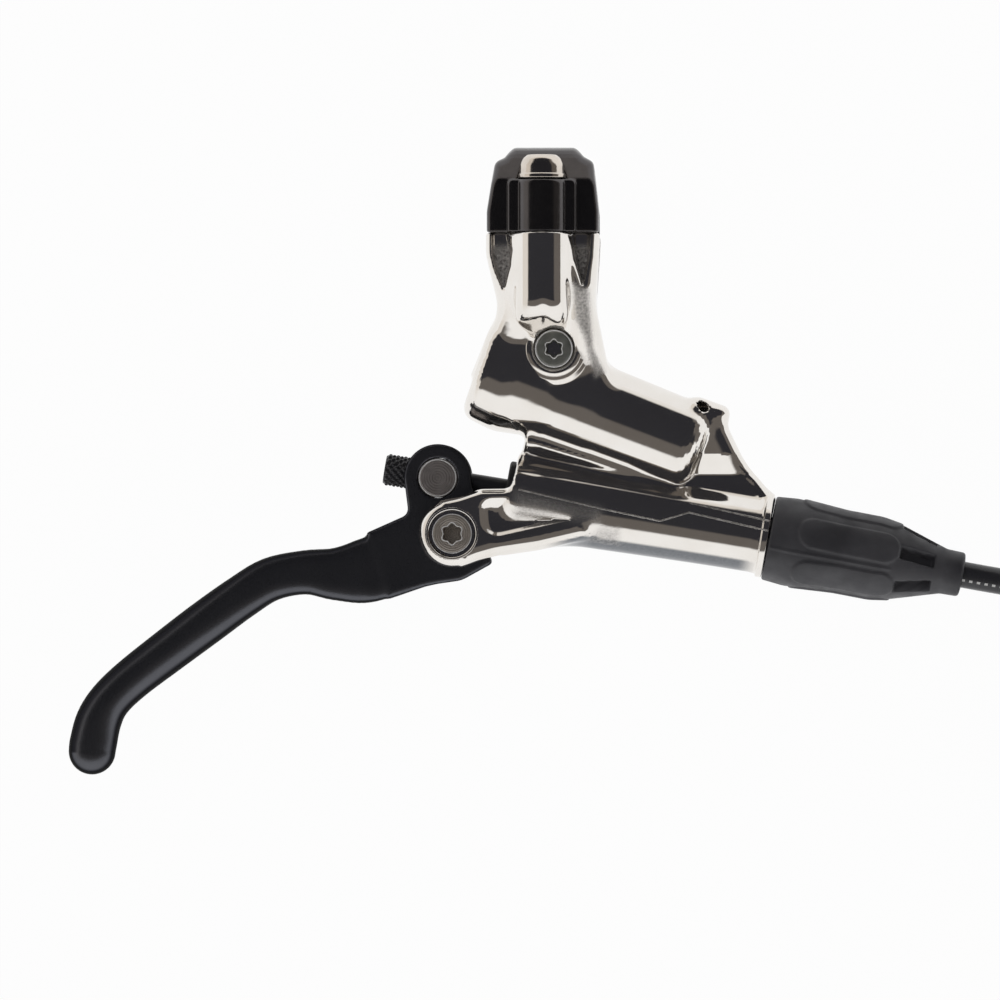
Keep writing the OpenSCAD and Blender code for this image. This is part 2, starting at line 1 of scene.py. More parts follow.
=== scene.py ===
import math
import bpy
import numpy as np
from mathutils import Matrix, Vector


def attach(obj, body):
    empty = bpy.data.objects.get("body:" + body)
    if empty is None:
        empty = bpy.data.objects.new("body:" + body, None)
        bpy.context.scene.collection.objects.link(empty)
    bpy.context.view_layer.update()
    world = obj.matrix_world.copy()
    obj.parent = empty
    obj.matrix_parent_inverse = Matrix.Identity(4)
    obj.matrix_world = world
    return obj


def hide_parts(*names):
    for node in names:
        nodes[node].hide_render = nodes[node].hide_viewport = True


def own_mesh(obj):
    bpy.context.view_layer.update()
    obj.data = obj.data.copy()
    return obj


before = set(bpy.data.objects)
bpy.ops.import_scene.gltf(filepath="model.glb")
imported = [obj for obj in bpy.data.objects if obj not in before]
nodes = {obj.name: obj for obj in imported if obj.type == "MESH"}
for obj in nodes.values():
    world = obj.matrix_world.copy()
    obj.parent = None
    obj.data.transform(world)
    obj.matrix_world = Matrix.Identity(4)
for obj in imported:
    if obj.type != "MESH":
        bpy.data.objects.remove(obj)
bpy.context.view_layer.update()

mm = 0.001


def unitOf(v):
    v = np.asarray(v, float)
    return v / np.linalg.norm(v, axis=-1, keepdims=True)


def cosSin(degrees):
    return math.cos(math.radians(degrees)), math.sin(math.radians(degrees))


def ease(t):  # 3t2 - 2t3, held at 0 and 1
    t = np.clip(t, 0, 1)
    return t * t * (3 - 2 * t)


def roundCorners(corners, steps=6, closed=True):
    # Each corner (x, y, r) becomes an arc of radius r that touches both edges,
    # drawn as a rational quadratic curve whose middle weight is the sine of half the corner's angle
    c = np.asarray(corners, float)
    out, n = [], len(c)
    for i in range(n):
        here, r = c[i, :2], c[i, 2]
        if r == 0 or (not closed and i in (0, n - 1)):
            out.append(here[None])
            continue
        toLast, toNext = c[i - 1, :2] - here, c[(i + 1) % n, :2] - here
        half = math.acos(np.clip(unitOf(toLast) @ unitOf(toNext), -1, 1)) / 2
        back = min(r / math.tan(half), 0.49 * np.linalg.norm(toLast), 0.49 * np.linalg.norm(toNext))
        t = np.linspace(0, 1, steps + 1)[:, None]
        w = math.sin(half)
        a, b, d = (1 - t) ** 2, 2 * t * (1 - t) * w, t ** 2
        start, end = here + unitOf(toLast) * back, here + unitOf(toNext) * back
        out.append((a * start + b * here + d * end) / (a + b + d))
    return np.vstack(out)


def throughPoints(points, steps):
    # Catmull-Rom curve through the points, steps parts from each to the next
    p = np.vstack([points[:1], points, points[-1:]])
    t = (np.arange(steps) / steps)[None, :, None]
    a, b, c, d = (p[k:len(p) - 3 + k][:, None] for k in range(4))
    q = b + (c - a) * t / 2 + (2 * a - 5 * b + 4 * c - d) * t * t / 2 + (3 * b - a - 3 * c + d) * t ** 3 / 2
    return np.vstack([q.reshape(-1, p.shape[1]), points[-1:]])


def makeMesh(name, points, quads, triangles=None, normals=None):
    # Points in millimetres; faces are turned so that the enclosed volume is positive
    faces = [np.asarray(quads, int).reshape(-1, 4)]
    if triangles is not None and len(triangles):
        faces.append(np.asarray(triangles, int).reshape(-1, 3))
    volume = 0.0
    for f in faces:
        for k in range(1, f.shape[1] - 1):
            a, b, c = points[f[:, 0]], points[f[:, k]], points[f[:, k + 1]]
            volume += float(np.einsum("ij,ij->i", a, np.cross(b, c)).sum())
    if volume < 0:
        faces = [f[:, ::-1] for f in faces]
    mesh = bpy.data.meshes.new(name)
    corners = np.concatenate([f.ravel() for f in faces])
    sizes = np.concatenate([np.full(len(f), f.shape[1]) for f in faces])
    mesh.vertices.add(len(points))
    mesh.vertices.foreach_set("co", (points * mm).astype(np.float32).ravel())
    mesh.loops.add(len(corners))
    mesh.loops.foreach_set("vertex_index", corners.astype(np.int32))
    mesh.polygons.add(len(sizes))
    mesh.polygons.foreach_set("loop_start", (np.cumsum(sizes) - sizes).astype(np.int32))
    mesh.update(calc_edges=True)
    mesh.validate()
    mesh.shade_smooth()
    if normals is not None:
        mesh.normals_split_custom_set_from_vertices(normals.astype(np.float32))
    return mesh


def addObject(name, data):
    item = bpy.data.objects.new(name, data)
    bpy.context.scene.collection.objects.link(item)
    return item


def makePiece(name, mesh, material, body, replaces=(), attributes=None):
    piece = addObject(name, mesh)
    mesh.materials.append(material)
    for key, values in (attributes or {}).items():
        kind = "FLOAT" if values.ndim == 1 else "FLOAT_VECTOR"
        layer = mesh.attributes.new(key, kind, "POINT")
        layer.data.foreach_set("value" if kind == "FLOAT" else "vector", values.astype(np.float32).ravel())
    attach(piece, body)
    if replaces:
        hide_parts(*replaces)
    return piece


def gridFaces(rows, columns, closeRows=False):
    # Quads between neighbouring rows of a grid whose columns run round and meet
    i = np.arange(rows if closeRows else rows - 1)[:, None] * columns
    j = np.arange(columns)[None, :]
    k = (j + 1) % columns
    nextRow = (i + columns) % (rows * columns)
    return np.stack([i + j, i + k, nextRow + k, nextRow + j], -1).reshape(-1, 4)


def rowsToMesh(name, rings, closeRows=False):
    # Rings of points (rows, columns, 3); the first and last row are closed by a fan round their middle
    rows, columns = rings.shape[:2]
    points = rings.reshape(-1, 3)
    quads = gridFaces(rows, columns, closeRows)
    if closeRows:
        return makeMesh(name, points, quads)
    points = np.vstack([points, rings[0].mean(0), rings[-1].mean(0)])
    j = np.arange(columns)
    k = (j + 1) % columns
    first, last = rows * columns, rows * columns + 1
    fans = np.vstack([np.stack([np.full(columns, first), k, j], -1),
            np.stack([np.full(columns, last), (rows - 1) * columns + j, (rows - 1) * columns + k], -1)])
    return makeMesh(name, points, quads, fans)


def turnedRings(profile, origin, axis, up, columns=96, lobes=None):
    # Surface of revolution: distance along the axis and radius from the profile, angle from the columns;
    # lobes(angle, row) multiplies the radius where a socket or a hexagon isn't round
    axis, up = unitOf(axis), unitOf(up)
    side = np.cross(axis, up)
    angle = np.arange(columns) * 2 * np.pi / columns
    radius = profile[:, 1][:, None] * (np.ones(columns)[None] if lobes is None else lobes(angle[None], profile))
    radius = np.maximum(radius, 1e-4)
    return (np.asarray(origin, float) + profile[:, 0][:, None, None] * axis
            + radius[..., None] * (np.cos(angle)[None, :, None] * up + np.sin(angle)[None, :, None] * side))


def addTurned(name, corners, origin, columns, material, replaces=(), body="root", ring=True, steps=5,
        axis=(0, 0, 1), up=(0, 1, 0)):
    # A ring is closed on itself; anything else runs from one end on its axis to the other
    profile = roundCorners(corners, steps, closed=ring)
    mesh = rowsToMesh(name, turnedRings(profile, origin, axis, up, columns), closeRows=ring)
    makePiece(name, mesh, material, body, replaces)


# Camera, as the photograph was taken, in metres and degrees
cameraLook = {"aim": (-0.00817, -0.05035, 0.0), "distance": 1.5, "tilt": 1.1, "width": 0.19}


def makeCamera(look):
    data = bpy.data.cameras.new("camera")
    data.sensor_width = 36
    data.lens = 36 * look["distance"] / look["width"]
    camera = addObject("camera", data)
    turn = math.radians(look["tilt"])
    camera.location = Vector(look["aim"]) + look["distance"] * Vector((math.sin(turn), 0, math.cos(turn)))
    camera.rotation_euler = (0, turn, 0)
    bpy.context.scene.camera = camera


makeCamera(cameraLook)
bpy.context.scene.view_settings.view_transform = "Standard"
print("camera made")


def hexColour(text, alpha=1.0):
    c = np.array([int(text[k:k + 2], 16) / 255 for k in (1, 3, 5)])
    c = np.where(c <= 0.04045, c / 12.92, ((c + 0.055) / 1.055) ** 2.4)
    return (*map(float, c), alpha)


def addNode(tree, kind, links=None, **settings):
    # One node with its settings; links gives each input a socket or a value
    node = tree.nodes.new("ShaderNode" + kind)
    for key, value in settings.items():
        setattr(node, key, value)
    for key, value in (links or {}).items():
        if isinstance(value, bpy.types.NodeSocket):
            tree.links.new(value, node.inputs[key])
        else:
            node.inputs[key].default_value = value
    return node


def startMaterial(name, colour, metallic, roughness, **sockets):
    material = bpy.data.materials.new(name)
    material.use_nodes = True
    tree = material.node_tree
    shader = tree.nodes["Principled BSDF"]
    shader.inputs["Base Color"].default_value = hexColour(colour)
    shader.inputs["Metallic"].default_value = metallic
    shader.inputs["Roughness"].default_value = roughness
    for key, value in sockets.items():
        shader.inputs[key.replace("_", " ")].default_value = value
    place = addNode(tree, "TexCoord").outputs["Object"]
    return material, tree, shader, place


def noiseOf(tree, place, size, detail=2.0, rough=0.5, **more):
    # size is the width of one blotch in millimetres
    return addNode(tree, "TexNoise", {"Vector": place, "Scale": 1 / (size * mm), "Detail": detail,
            "Roughness": rough, **more}).outputs["Fac"]


def bumpFrom(tree, shader, height, depth, strength=1.0):
    # depth is how far white stands above black, in millimetres
    bump = addNode(tree, "Bump", {"Height": height, "Distance": depth * mm, "Strength": strength})
    tree.links.new(bump.outputs[0], shader.inputs["Normal"])
    return bump


def mapped(tree, value, low, high, toLow, toHigh, smooth=False):
    return addNode(tree, "MapRange", {"Value": value, "From Min": low, "From Max": high, "To Min": toLow,
            "To Max": toHigh},
            interpolation_type="SMOOTHSTEP" if smooth else "LINEAR").outputs["Result"]


def mixColours(tree, fac, a, b):
    node = addNode(tree, "Mix", data_type="RGBA")
    for socket, value in ((node.inputs[0], fac), (node.inputs[6], a), (node.inputs[7], b)):
        if isinstance(value, bpy.types.NodeSocket):
            tree.links.new(value, socket)
        else:
            socket.default_value = hexColour(value) if isinstance(value, str) else value
    return node.outputs[2]


def calculate(tree, operation, *values):
    node = addNode(tree, "Math", operation=operation)
    for k, value in enumerate(values):
        if isinstance(value, bpy.types.NodeSocket):
            tree.links.new(value, node.inputs[k])
        else:
            node.inputs[k].default_value = value
    return node.outputs[0]


def times(tree, a, b):
    return calculate(tree, "MULTIPLY", a, b)


def attributeOf(tree, name, output="Fac"):
    return addNode(tree, "Attribute", attribute_name=name).outputs[output]


def paint(tree, shader, colour=None, roughness=None):
    for socket, key in ((colour, "Base Color"), (roughness, "Roughness")):
        if socket:
            tree.links.new(socket, shader.inputs[key])


def shades(colour, *factors):
    # The colour made darker or lighter by each factor
    return ("#%02x%02x%02x" % tuple(int(min(255, int(colour[k:k + 2], 16) * f)) for k in (1, 3, 5)) for f in factors)


# The dash, the radius and the coil's middle are in millimetres, the length and the exit in metres
hoseLook = {"radius": 2.5, "columns": 18, "dash": 7.3 * 0.19, "length": 0.911,
        "exit": (0.04717, -0.05837, 0.0), "coil": (125.0, -108.0), "start": 81.5}


def coilPoint(turn, radius, height):
    angle = np.radians(hoseLook["start"] - turn)
    return np.stack([hoseLook["coil"][0] + radius * np.cos(angle),
            hoseLook["coil"][1] + radius * np.sin(angle), height], -1)


def hosePath():
    # Straight out of its nut, down to the table, round a coil, and out to the end fitting.
    # In the coil the radius and the height are sums of eased steps in the angle turned.
    out = np.array([[33.2, -55.7, 0], [42.6, -57.5, 0], [52.4, -59.4, 0], [61.2, -61.1, 0], [70.4, -62.8, 0],
            [79.6, -64.5, 0], [84, -65.3, -0.35], [88, -66, -1.3], [94, -67.1, -4.1], [100, -68.1, -9.3],
            [106, -69, -14.4], [112, -69.8, -17.4], [118, -70.6, -18.4], [124, -71.5, -18.5]])
    turn = np.arange(0, 1511, 10.0)

    def step(start, change, width=60):
        return change * ease((turn - start) / width)

    radius = 36 + step(70, -5) + step(430, -5) + step(1040, 5) + step(1390, 5)
    height = -18.5 + step(70, 0.7) + step(730, 5) + step(1390, -0.6)
    away = np.array([[161.27, -105.72, -13.5], [162.27, -110.62, -14.0], [163.27, -115.52, -15.0],
            [164.17, -119.93, -15.9], [165.16, -124.83, -16]])
    return throughPoints(np.vstack([out, coilPoint(turn, radius, height), away]), 4)


def tubeRings(path, radius, columns, up=(0, 0, 1)):
    # Circle of the radius in the plane across the path at each of its points
    along = np.gradient(path, axis=0)
    along = unitOf(along)
    side = unitOf(np.cross(np.asarray(up, float), along))
    over = np.cross(along, side)
    angle = np.arange(columns) * 2 * np.pi / columns
    return path[:, None] + radius * (np.cos(angle)[None, :, None] * side[:, None]
            + np.sin(angle)[None, :, None] * over[:, None])


def hoseJacket():
    # Extruded black nylon jacket, smooth and slightly glossy, with a printed row of plain dashes
    material, tree, shader, place = startMaterial("extruded_nylon_jacket", "#141416", 0.0, 0.32,
            Specular_IOR_Level=0.5)
    route = attributeOf(tree, "route", "Vector")
    parts = addNode(tree, "SeparateXYZ", {"Vector": route})
    within = calculate(tree, "FRACT", calculate(tree, "DIVIDE", parts.outputs[0], hoseLook["dash"]))
    dash = calculate(tree, "LESS_THAN", within, 0.42)
    # the row runs a little below the side that faces the camera
    off = calculate(tree, "ABSOLUTE", calculate(tree, "SUBTRACT", parts.outputs[1], -0.42))
    band = calculate(tree, "LESS_THAN", off, 0.085)
    front = calculate(tree, "GREATER_THAN", parts.outputs[2], 0.0)
    mark = times(tree, times(tree, dash, band), front)
    smudge = noiseOf(tree, place, 9, 3)
    base = mixColours(tree, smudge, "#303034", "#3d3d41")
    paint(tree, shader, mixColours(tree, mark, base, "#dcdcda"), mapped(tree, smudge, 0.3, 0.7, 0.24, 0.38))
    bumpFrom(tree, shader, noiseOf(tree, place, 0.5, 2), 0.006)
    return material


def makeHose():
    path = hosePath()
    rings = tubeRings(path, hoseLook["radius"], hoseLook["columns"])
    mesh = rowsToMesh("hoseTube", rings)
    gone = np.concatenate([[0], np.cumsum(np.linalg.norm(np.diff(path, axis=0), axis=1))])
    angle = np.arange(hoseLook["columns"]) * 2 * np.pi / hoseLook["columns"]
    # route: distance along, and the cosine and sine of the angle round, for the printed row
    route = np.stack(np.broadcast_arrays(gone[:, None], np.cos(angle)[None], np.sin(angle)[None]), -1).reshape(-1, 3)
    route = np.vstack([route, [gone[0], 0, 0], [gone[-1], 0, 0]])
    piece = makePiece("hoseTube", mesh, hoseJacket(), "root", ("hose", "hose_coil", "hose_tail"),
            {"route": route})
    print("hose path length", round(float(gone[-1]), 1), "mm")
    return piece, path


hosePiece, hoseRoute = makeHose()
print("hose made")


# Forged and machined shapes are fields: below 0 inside, above 0 outside, in millimetres
def outlineField(x, y, corners, axisEdges=True):
    # Signed distance to a closed outline: the nearest of its edges, with the sign from counting the edges
    # that a ray to the right crosses. Edges along the axis of a turned profile are left out.
    best = np.full(x.shape, 1e18)
    inside = np.zeros(x.shape, bool)
    for (ax, ay), (bx, by) in zip(corners, np.roll(corners, -1, axis=0)):
        ex, ey = bx - ax, by - ay
        size = ex * ex + ey * ey
        if size < 1e-12:
            continue
        if axisEdges or abs(ay) > 1e-9 or abs(by) > 1e-9:
            px, py = x - ax, y - ay
            t = np.clip((px * ex + py * ey) / size, 0, 1)
            best = np.minimum(best, (px - t * ex) ** 2 + (py - t * ey) ** 2)
        if abs(ey) > 1e-12:
            crosses = ((ay > y) != (by > y)) & (x < ax + (y - ay) * ex / ey)
            inside ^= crosses
    return np.where(inside, -1, 1) * np.sqrt(best)


def join(a, b, soft):  # union with a fillet: the lower of both, less a bump where they are close
    h = np.clip(0.5 + 0.5 * (b - a) / soft, 0, 1)
    return b + (a - b) * h - soft * h * (1 - h)


def meet(a, b, soft):  # what both share, with a rounded edge
    return -join(-a, -b, soft)


def cut(a, b, soft):  # a without b, with a rounded edge
    return meet(a, -b, soft)


def fieldMesh(field, low, high, step):
    # Surface nets: the field is read on a fine grid near its surface, each grid cell that the surface passes
    # through gets one point, and each grid edge that it crosses gets one quad. The points are then moved
    # onto the surface along the field's slope, which also gives their normals.
    low, high = np.asarray(low, float), np.asarray(high, float)
    block = 4
    blocks = np.ceil((high - low) / (step * block)).astype(int)
    middles = np.stack(np.meshgrid(*[low[k] + (np.arange(blocks[k]) + 0.5) * block * step for k in range(3)],
            indexing="ij"), -1).reshape(-1, 3)
    coarse = field(middles)
    near = np.nonzero(np.abs(coarse) < 5.6 * step + 0.6)[0]
    grid = np.repeat(np.repeat(np.repeat(coarse.reshape(blocks), block, 0), block, 1), block, 2).astype(np.float32)
    blockAt = np.stack(np.unravel_index(near, blocks), -1) * block
    inner = np.stack(np.meshgrid(*[np.arange(block)] * 3, indexing="ij"), -1).reshape(-1, 3)
    index = (blockAt[:, None] + inner[None]).reshape(-1, 3)
    grid[tuple(index.T)] = field(low + index * step)
    solid = grid < 0

    cellCount = np.array(grid.shape) - 1
    corner = [(a, b, c) for a in (0, 1) for b in (0, 1) for c in (0, 1)]

    def shifted(array, o):
        return array[o[0]:o[0] + cellCount[0], o[1]:o[1] + cellCount[1], o[2]:o[2] + cellCount[2]]

    full, some = np.ones(cellCount, bool), np.zeros(cellCount, bool)
    for o in corner:
        full &= shifted(solid, o)
        some |= shifted(solid, o)
    cells = np.stack(np.nonzero(some & ~full), -1)
    values = np.stack([grid[tuple((cells + o).T)] for o in corner], -1)
    total, crossings = np.zeros((len(cells), 3)), np.zeros(len(cells))
    for a in range(8):
        for b in range(a + 1, 8):
            if sum(p != q for p, q in zip(corner[a], corner[b])) == 1:
                va, vb = values[:, a], values[:, b]
                hit = (va < 0) != (vb < 0)
                t = np.where(hit, va / np.where(hit, va - vb, 1), 0)
                spot = np.array(corner[a]) + t[:, None] * (np.array(corner[b]) - corner[a])
                total += spot * hit[:, None]
                crossings += hit
    points = low + (cells + total / crossings[:, None]) * step

    def slope(p, reach=0.02):
        g = np.empty_like(p)
        for k in range(3):
            d = np.zeros(3)
            d[k] = reach
            g[:, k] = (field(p + d) - field(p - d)) / (2 * reach)
        return g

    for _ in range(2):
        g = slope(points)
        move = -(field(points) / np.maximum((g * g).sum(1), 0.2))[:, None] * g
        size = np.linalg.norm(move, axis=1, keepdims=True)
        points = points + move * np.minimum(1, 0.6 * step / np.maximum(size, 1e-9))
    normals = unitOf(slope(points, 0.05) + 1e-12)

    number = np.full(cellCount, -1, int)
    number[tuple(cells.T)] = np.arange(len(cells))
    quads = []
    for axis in range(3):
        s, u = (axis + 1) % 3, (axis + 2) % 3
        first = np.take(solid, range(solid.shape[axis] - 1), axis)
        second = np.take(solid, range(1, solid.shape[axis]), axis)
        crossing = np.stack(np.nonzero(first != second), -1)
        leaving = first[tuple(crossing.T)]
        ok = np.all([(crossing[:, k] > 0) & (crossing[:, k] < cellCount[k]) for k in (s, u)], axis=0)
        crossing, leaving = crossing[ok], leaving[ok]
        four = []
        for ds, du in ((0, 0), (-1, 0), (-1, -1), (0, -1)):
            c = crossing.copy()
            c[:, s] += ds
            c[:, u] += du
            four.append(number[tuple(c.T)])
        quad = np.stack(four, -1)
        quads.append(np.where(leaving[:, None], quad, quad[:, ::-1]))
    return points, np.vstack(quads), normals


def alongAxis(p, origin, slope):
    # Distance along and across a part that slopes down by the angle, and the distance from its axis
    c, s = cosSin(slope)
    dx, dy = p[:, 0] - origin[0], p[:, 1] - origin[1]
    return dx * c - dy * s, dx * s + dy * c


def carved(name, field, low, high, step):
    points, quads, normals = fieldMesh(field, low, high, step)
    print(name, len(points), "points")
    return makeMesh(name, points, quads, normals=normals), points, normals


bodyLook = {"step": 0.42, "barrelEnd": (42.6, -57.5), "slope": 9.3, "reservoirEnd": (-11.9, -24.8),
        "reservoirSlope": 21, "pivot": (-17.1, -56.7), "bleed": (2.2, -21.8), "lugHole": (30.2, -32.7),
        "lugHoleLean": 35, "barBore": 11.1}

neckFront = roundCorners([[-10.3, 1, 0], [-10.3, -4, 8], [-7.9, -14.4, 8], [-13, -26.5, 0], [-6, -36, 0],
        [13.6, -34, 0], [12.7, -26.6, 0], [11.9, -24.2, 2], [9.8, -14, 14], [10.7, 1, 0]])
neckSide = roundCorners([[15.6, 6, 0], [15.6, -7.5, 5], [8.4, -22.2, 5], [6.6, -36, 0], [-6.6, -36, 0],
        [-8.4, -22.2, 5], [-15.6, -7.5, 5], [-15.6, 6, 0]])
webFront = roundCorners([[-3.4, -33, 0], [-3.4, -39, 5], [-5.9, -48.2, 0], [-4, -56, 0], [25, -56, 0], [25, -40, 0]])
lugFront = roundCorners([[26.5, -34, 0], [28.4, -30.3, 2.5], [35.7, -32.9, 1.8], [35.1, -36.4, 3],
        [38.1, -42.6, 12], [43.7, -49.4, 0], [42.6, -54, 0], [22, -50, 0], [22, -40, 0]])
earFront = roundCorners([[-19.3, -50.6, 0], [-11.7, -48.1, 3], [-5, -48.0, 0], [2, -49, 0],
        [9.6, -53.4, 2], [9.2, -57.6, 2], [-0.8, -59.9, 20], [-8.9, -61.1, 20], [-15.4, -63.0, 0]])
earHollow = roundCorners([[-12.4, -49.6, 4.2], [-11.8, -58.6, 3.6], [8.6, -54.0, 0.7], [-5.8, -51.6, 3],
        [-6.4, -49.4, 1.2]])
pocketLeft = np.array([[-9.3, 1], [-6.7, 1], [-6.0, -3.2], [-6.2, -6.3], [-7.2, -10.1], [-8.5, -7.2], [-9.3, -3.8]])
pocketRight = np.array([[5.8, 1], [9.0, 1], [8.7, -4.5], [7.7, -9.6], [6.3, -5]])
castPatches = [[[5.9, -9.5], [8.7, -10.8], [9.5, -21.9], [11.6, -26.2], [10.0, -27.2], [8.2, -20], [6.4, -16.2]],
        [[-5.1, -48.8], [10.8, -52.1], [10.6, -54.4], [3.2, -53.6], [-5.1, -53.8]],
        [[10.8, -55.9], [14.2, -56.2], [14.2, -58.8], [9.0, -58.0]]]   # ground off but never buffed
bossDips = ((0.3, -15.6, 1.0, 2.4, 0.26), (-3.0, -18.4, 1.6, 1.2, 0.18), (3.0, -17.2, 1.7, 1.4, -0.22))
waist = np.arange(1, 9)
barrelProfile = np.array([[-49.3, 0], [-49.3, 7.2], [-48.9, 7.6],
        *np.stack([-49.3 + waist * 5.8, 7.3 + 0.3 * np.cos(np.radians(waist * 22.5))], -1),
        [-1.6, 7.1], [-0.4, 7.1], [-0.4, 0]])
reservoirProfile = roundCorners([[-0.2, 0, 0], [-0.2, 10.1, 2.6], [6.5, 10.8, 8], [15, 8.9, 12],
        [44.8, 8.2, 3.5], [44.8, 0, 0]])


def bodyField(p):
    # One forging: pipes turned round their axes, plates cut to outlines, joined with fillets, then bored
    x, y, z = p.T
    depth = np.abs(z)
    u, v = alongAxis(p, bodyLook["barrelEnd"], bodyLook["slope"])
    a, b = alongAxis(p, bodyLook["reservoirEnd"], bodyLook["reservoirSlope"])
    barrel = outlineField(u, np.hypot(v, z), barrelProfile, axisEdges=False)
    reservoir = outlineField(a, np.hypot(b, z), reservoirProfile, axisEdges=False)
    # the neck's taper starts lower on the right of the bleed screw
    taper = outlineField(z, y + 3.2 * ease((x - 4.5) / 3), neckSide)
    neck = meet(outlineField(x, y, neckFront) - 0.35, taper - 0.35, 5.0)
    boss = meet(np.hypot(x, depth - 16) - 5, (-16.6 - y) * 0.85 + (depth - 18) * 0.45, 2.4)
    # the web steps back along a line that falls to the right, a low step that fades out
    webHalf = np.interp(x, [-5, -3.2, -1, 7, 16, 25], [3.0, 2.9, 1.7, 2.0, 3.0, 3.2])
    webHalf = webHalf + np.interp(x, [-3.4, 0, 9, 22], [1.9, 2.2, 1.9, 0.3]) * ease((y + 41.5 + 0.29 * x) / 3.4 + 0.5)
    web = meet(outlineField(x, y, webFront), depth - webHalf, 2.4)
    # the lug thins downwards in two slopes to a flat with a raised rim along its free edge
    lugEdge = outlineField(x, y, lugFront)
    lugHalf = np.interp(y, [-50, -45.4, -41.6, -33], [1.7, 1.7, 3.6, 4.9])
    lugHalf = lugHalf + 0.9 * ease((lugEdge + 2.3) / 1.4) * ease((-43.6 - y) / 3) * ease((x - 33) / 4)
    lug = meet(lugEdge, depth - lugHalf, 3.8)
    px, py = x - bodyLook["pivot"][0], y - bodyLook["pivot"][1]
    pivotRound = np.hypot(px, py)
    ears = meet(join(outlineField(x, y, earFront), pivotRound - 6.5, 1.0), depth - 8.3, 3.4)
    # three hand-polished dips where the boss runs into the neck
    dips = sum(high * np.exp(-((x - px0) / wx) ** 2 - ((y - py0) / wy) ** 2)
            for px0, py0, wx, wy, high in bossDips)
    upper = join(join(reservoir, neck, 1.8), boss, 2.8) + dips * (z > 0)
    lower = join(join(barrel, ears, 1.6), web, 1.6)
    body = join(join(upper, lug, 1.5), lower, 1.4 + 1.6 * ease((x - 20) / 16))
    bx, by = x - bodyLook["bleed"][0], y - bodyLook["bleed"][1]
    bleedRound = np.hypot(bx, by)
    cone = 0.89 * (z - 9.5 + 0.5 * (bleedRound - 4.7))
    body = join(body, meet(bleedRound - 8.2, np.maximum(cone, -z), 0.5), 1.2)
    # pockets, hollows and bores
    pockets = np.minimum(outlineField(x, y, pocketLeft), outlineField(x, y, pocketRight))
    body = cut(body, meet(pockets, 12.5 - depth, 0.8), 1.1)
    # the hollow is a bowl: its walls lean in by more than its depth
    body = cut(body, meet((outlineField(x, y, earHollow) + 1.2 * (8.3 - depth)) * 0.7, 6.4 - depth, 1.0), 0.6)
    body = cut(body, np.hypot(y, z) - bodyLook["barBore"], 0.5)
    body = meet(body, y + 0.05, 0.35)
    fork = np.maximum(np.maximum(u + 49.3, depth - 5.6), v - 9.5)
    body = cut(body, fork, 0.6)
    body = cut(body, np.maximum(np.hypot(v - 1.1, z) - 4.75, u + 12), 0.3)
    body = cut(body, pivotRound - 2.56, 0.1)
    body = cut(body, np.maximum(pivotRound - 4.6, 6.7 - z), 0.35)
    body = cut(body, np.maximum(pivotRound - 4.4, z + 6.9), 0.35)
    body = cut(body, np.maximum(bleedRound - 3.9, 8.7 - z), 0.2)
    c, s = cosSin(bodyLook["lugHoleLean"])
    hx, hy = x - bodyLook["lugHole"][0], y - bodyLook["lugHole"][1]
    return cut(body, np.maximum(np.hypot(hx * c - (z - 4) * s, hy) - 1.0, 1 - z), 0.25)


def etchedLines(tree, place):
    # Fine matte lines etched along the cylinder, each a thin strip about the line between two points of X and Y
    corners = [[(-4.4, -48.35), (10.8, -51.9), (22.2, -54.3), (27.7, -52.7), (42.8, -56.2)],
            [(27.9, -50.9), (42.8, -54.3)]]
    parts = addNode(tree, "SeparateXYZ", {"Vector": place}).outputs
    lines = None
    for row in corners:
        for (ax, ay), (bx, by) in zip(row, row[1:]):
            size = math.hypot(bx - ax, by - ay)
            c, s = (bx - ax) / size, (by - ay) / size
            x = calculate(tree, "SUBTRACT", calculate(tree, "DIVIDE", parts["X"], mm), (ax + bx) / 2)
            y = calculate(tree, "SUBTRACT", calculate(tree, "DIVIDE", parts["Y"], mm), (ay + by) / 2)
            along = calculate(tree, "ADD", times(tree, x, c), times(tree, y, s))
            across = calculate(tree, "SUBTRACT", times(tree, y, c), times(tree, x, s))
            within = calculate(tree, "LESS_THAN", calculate(tree, "ABSOLUTE", along), size / 2 + 0.1)
            line = times(tree, within, mapped(tree, calculate(tree, "ABSOLUTE", across), 0.07, 0.15, 1, 0))
            lines = line if lines is None else calculate(tree, "MAXIMUM", lines, line)
    return times(tree, times(tree, lines, 1.6),
            calculate(tree, "GREATER_THAN", parts["Z"], 3 * mm))


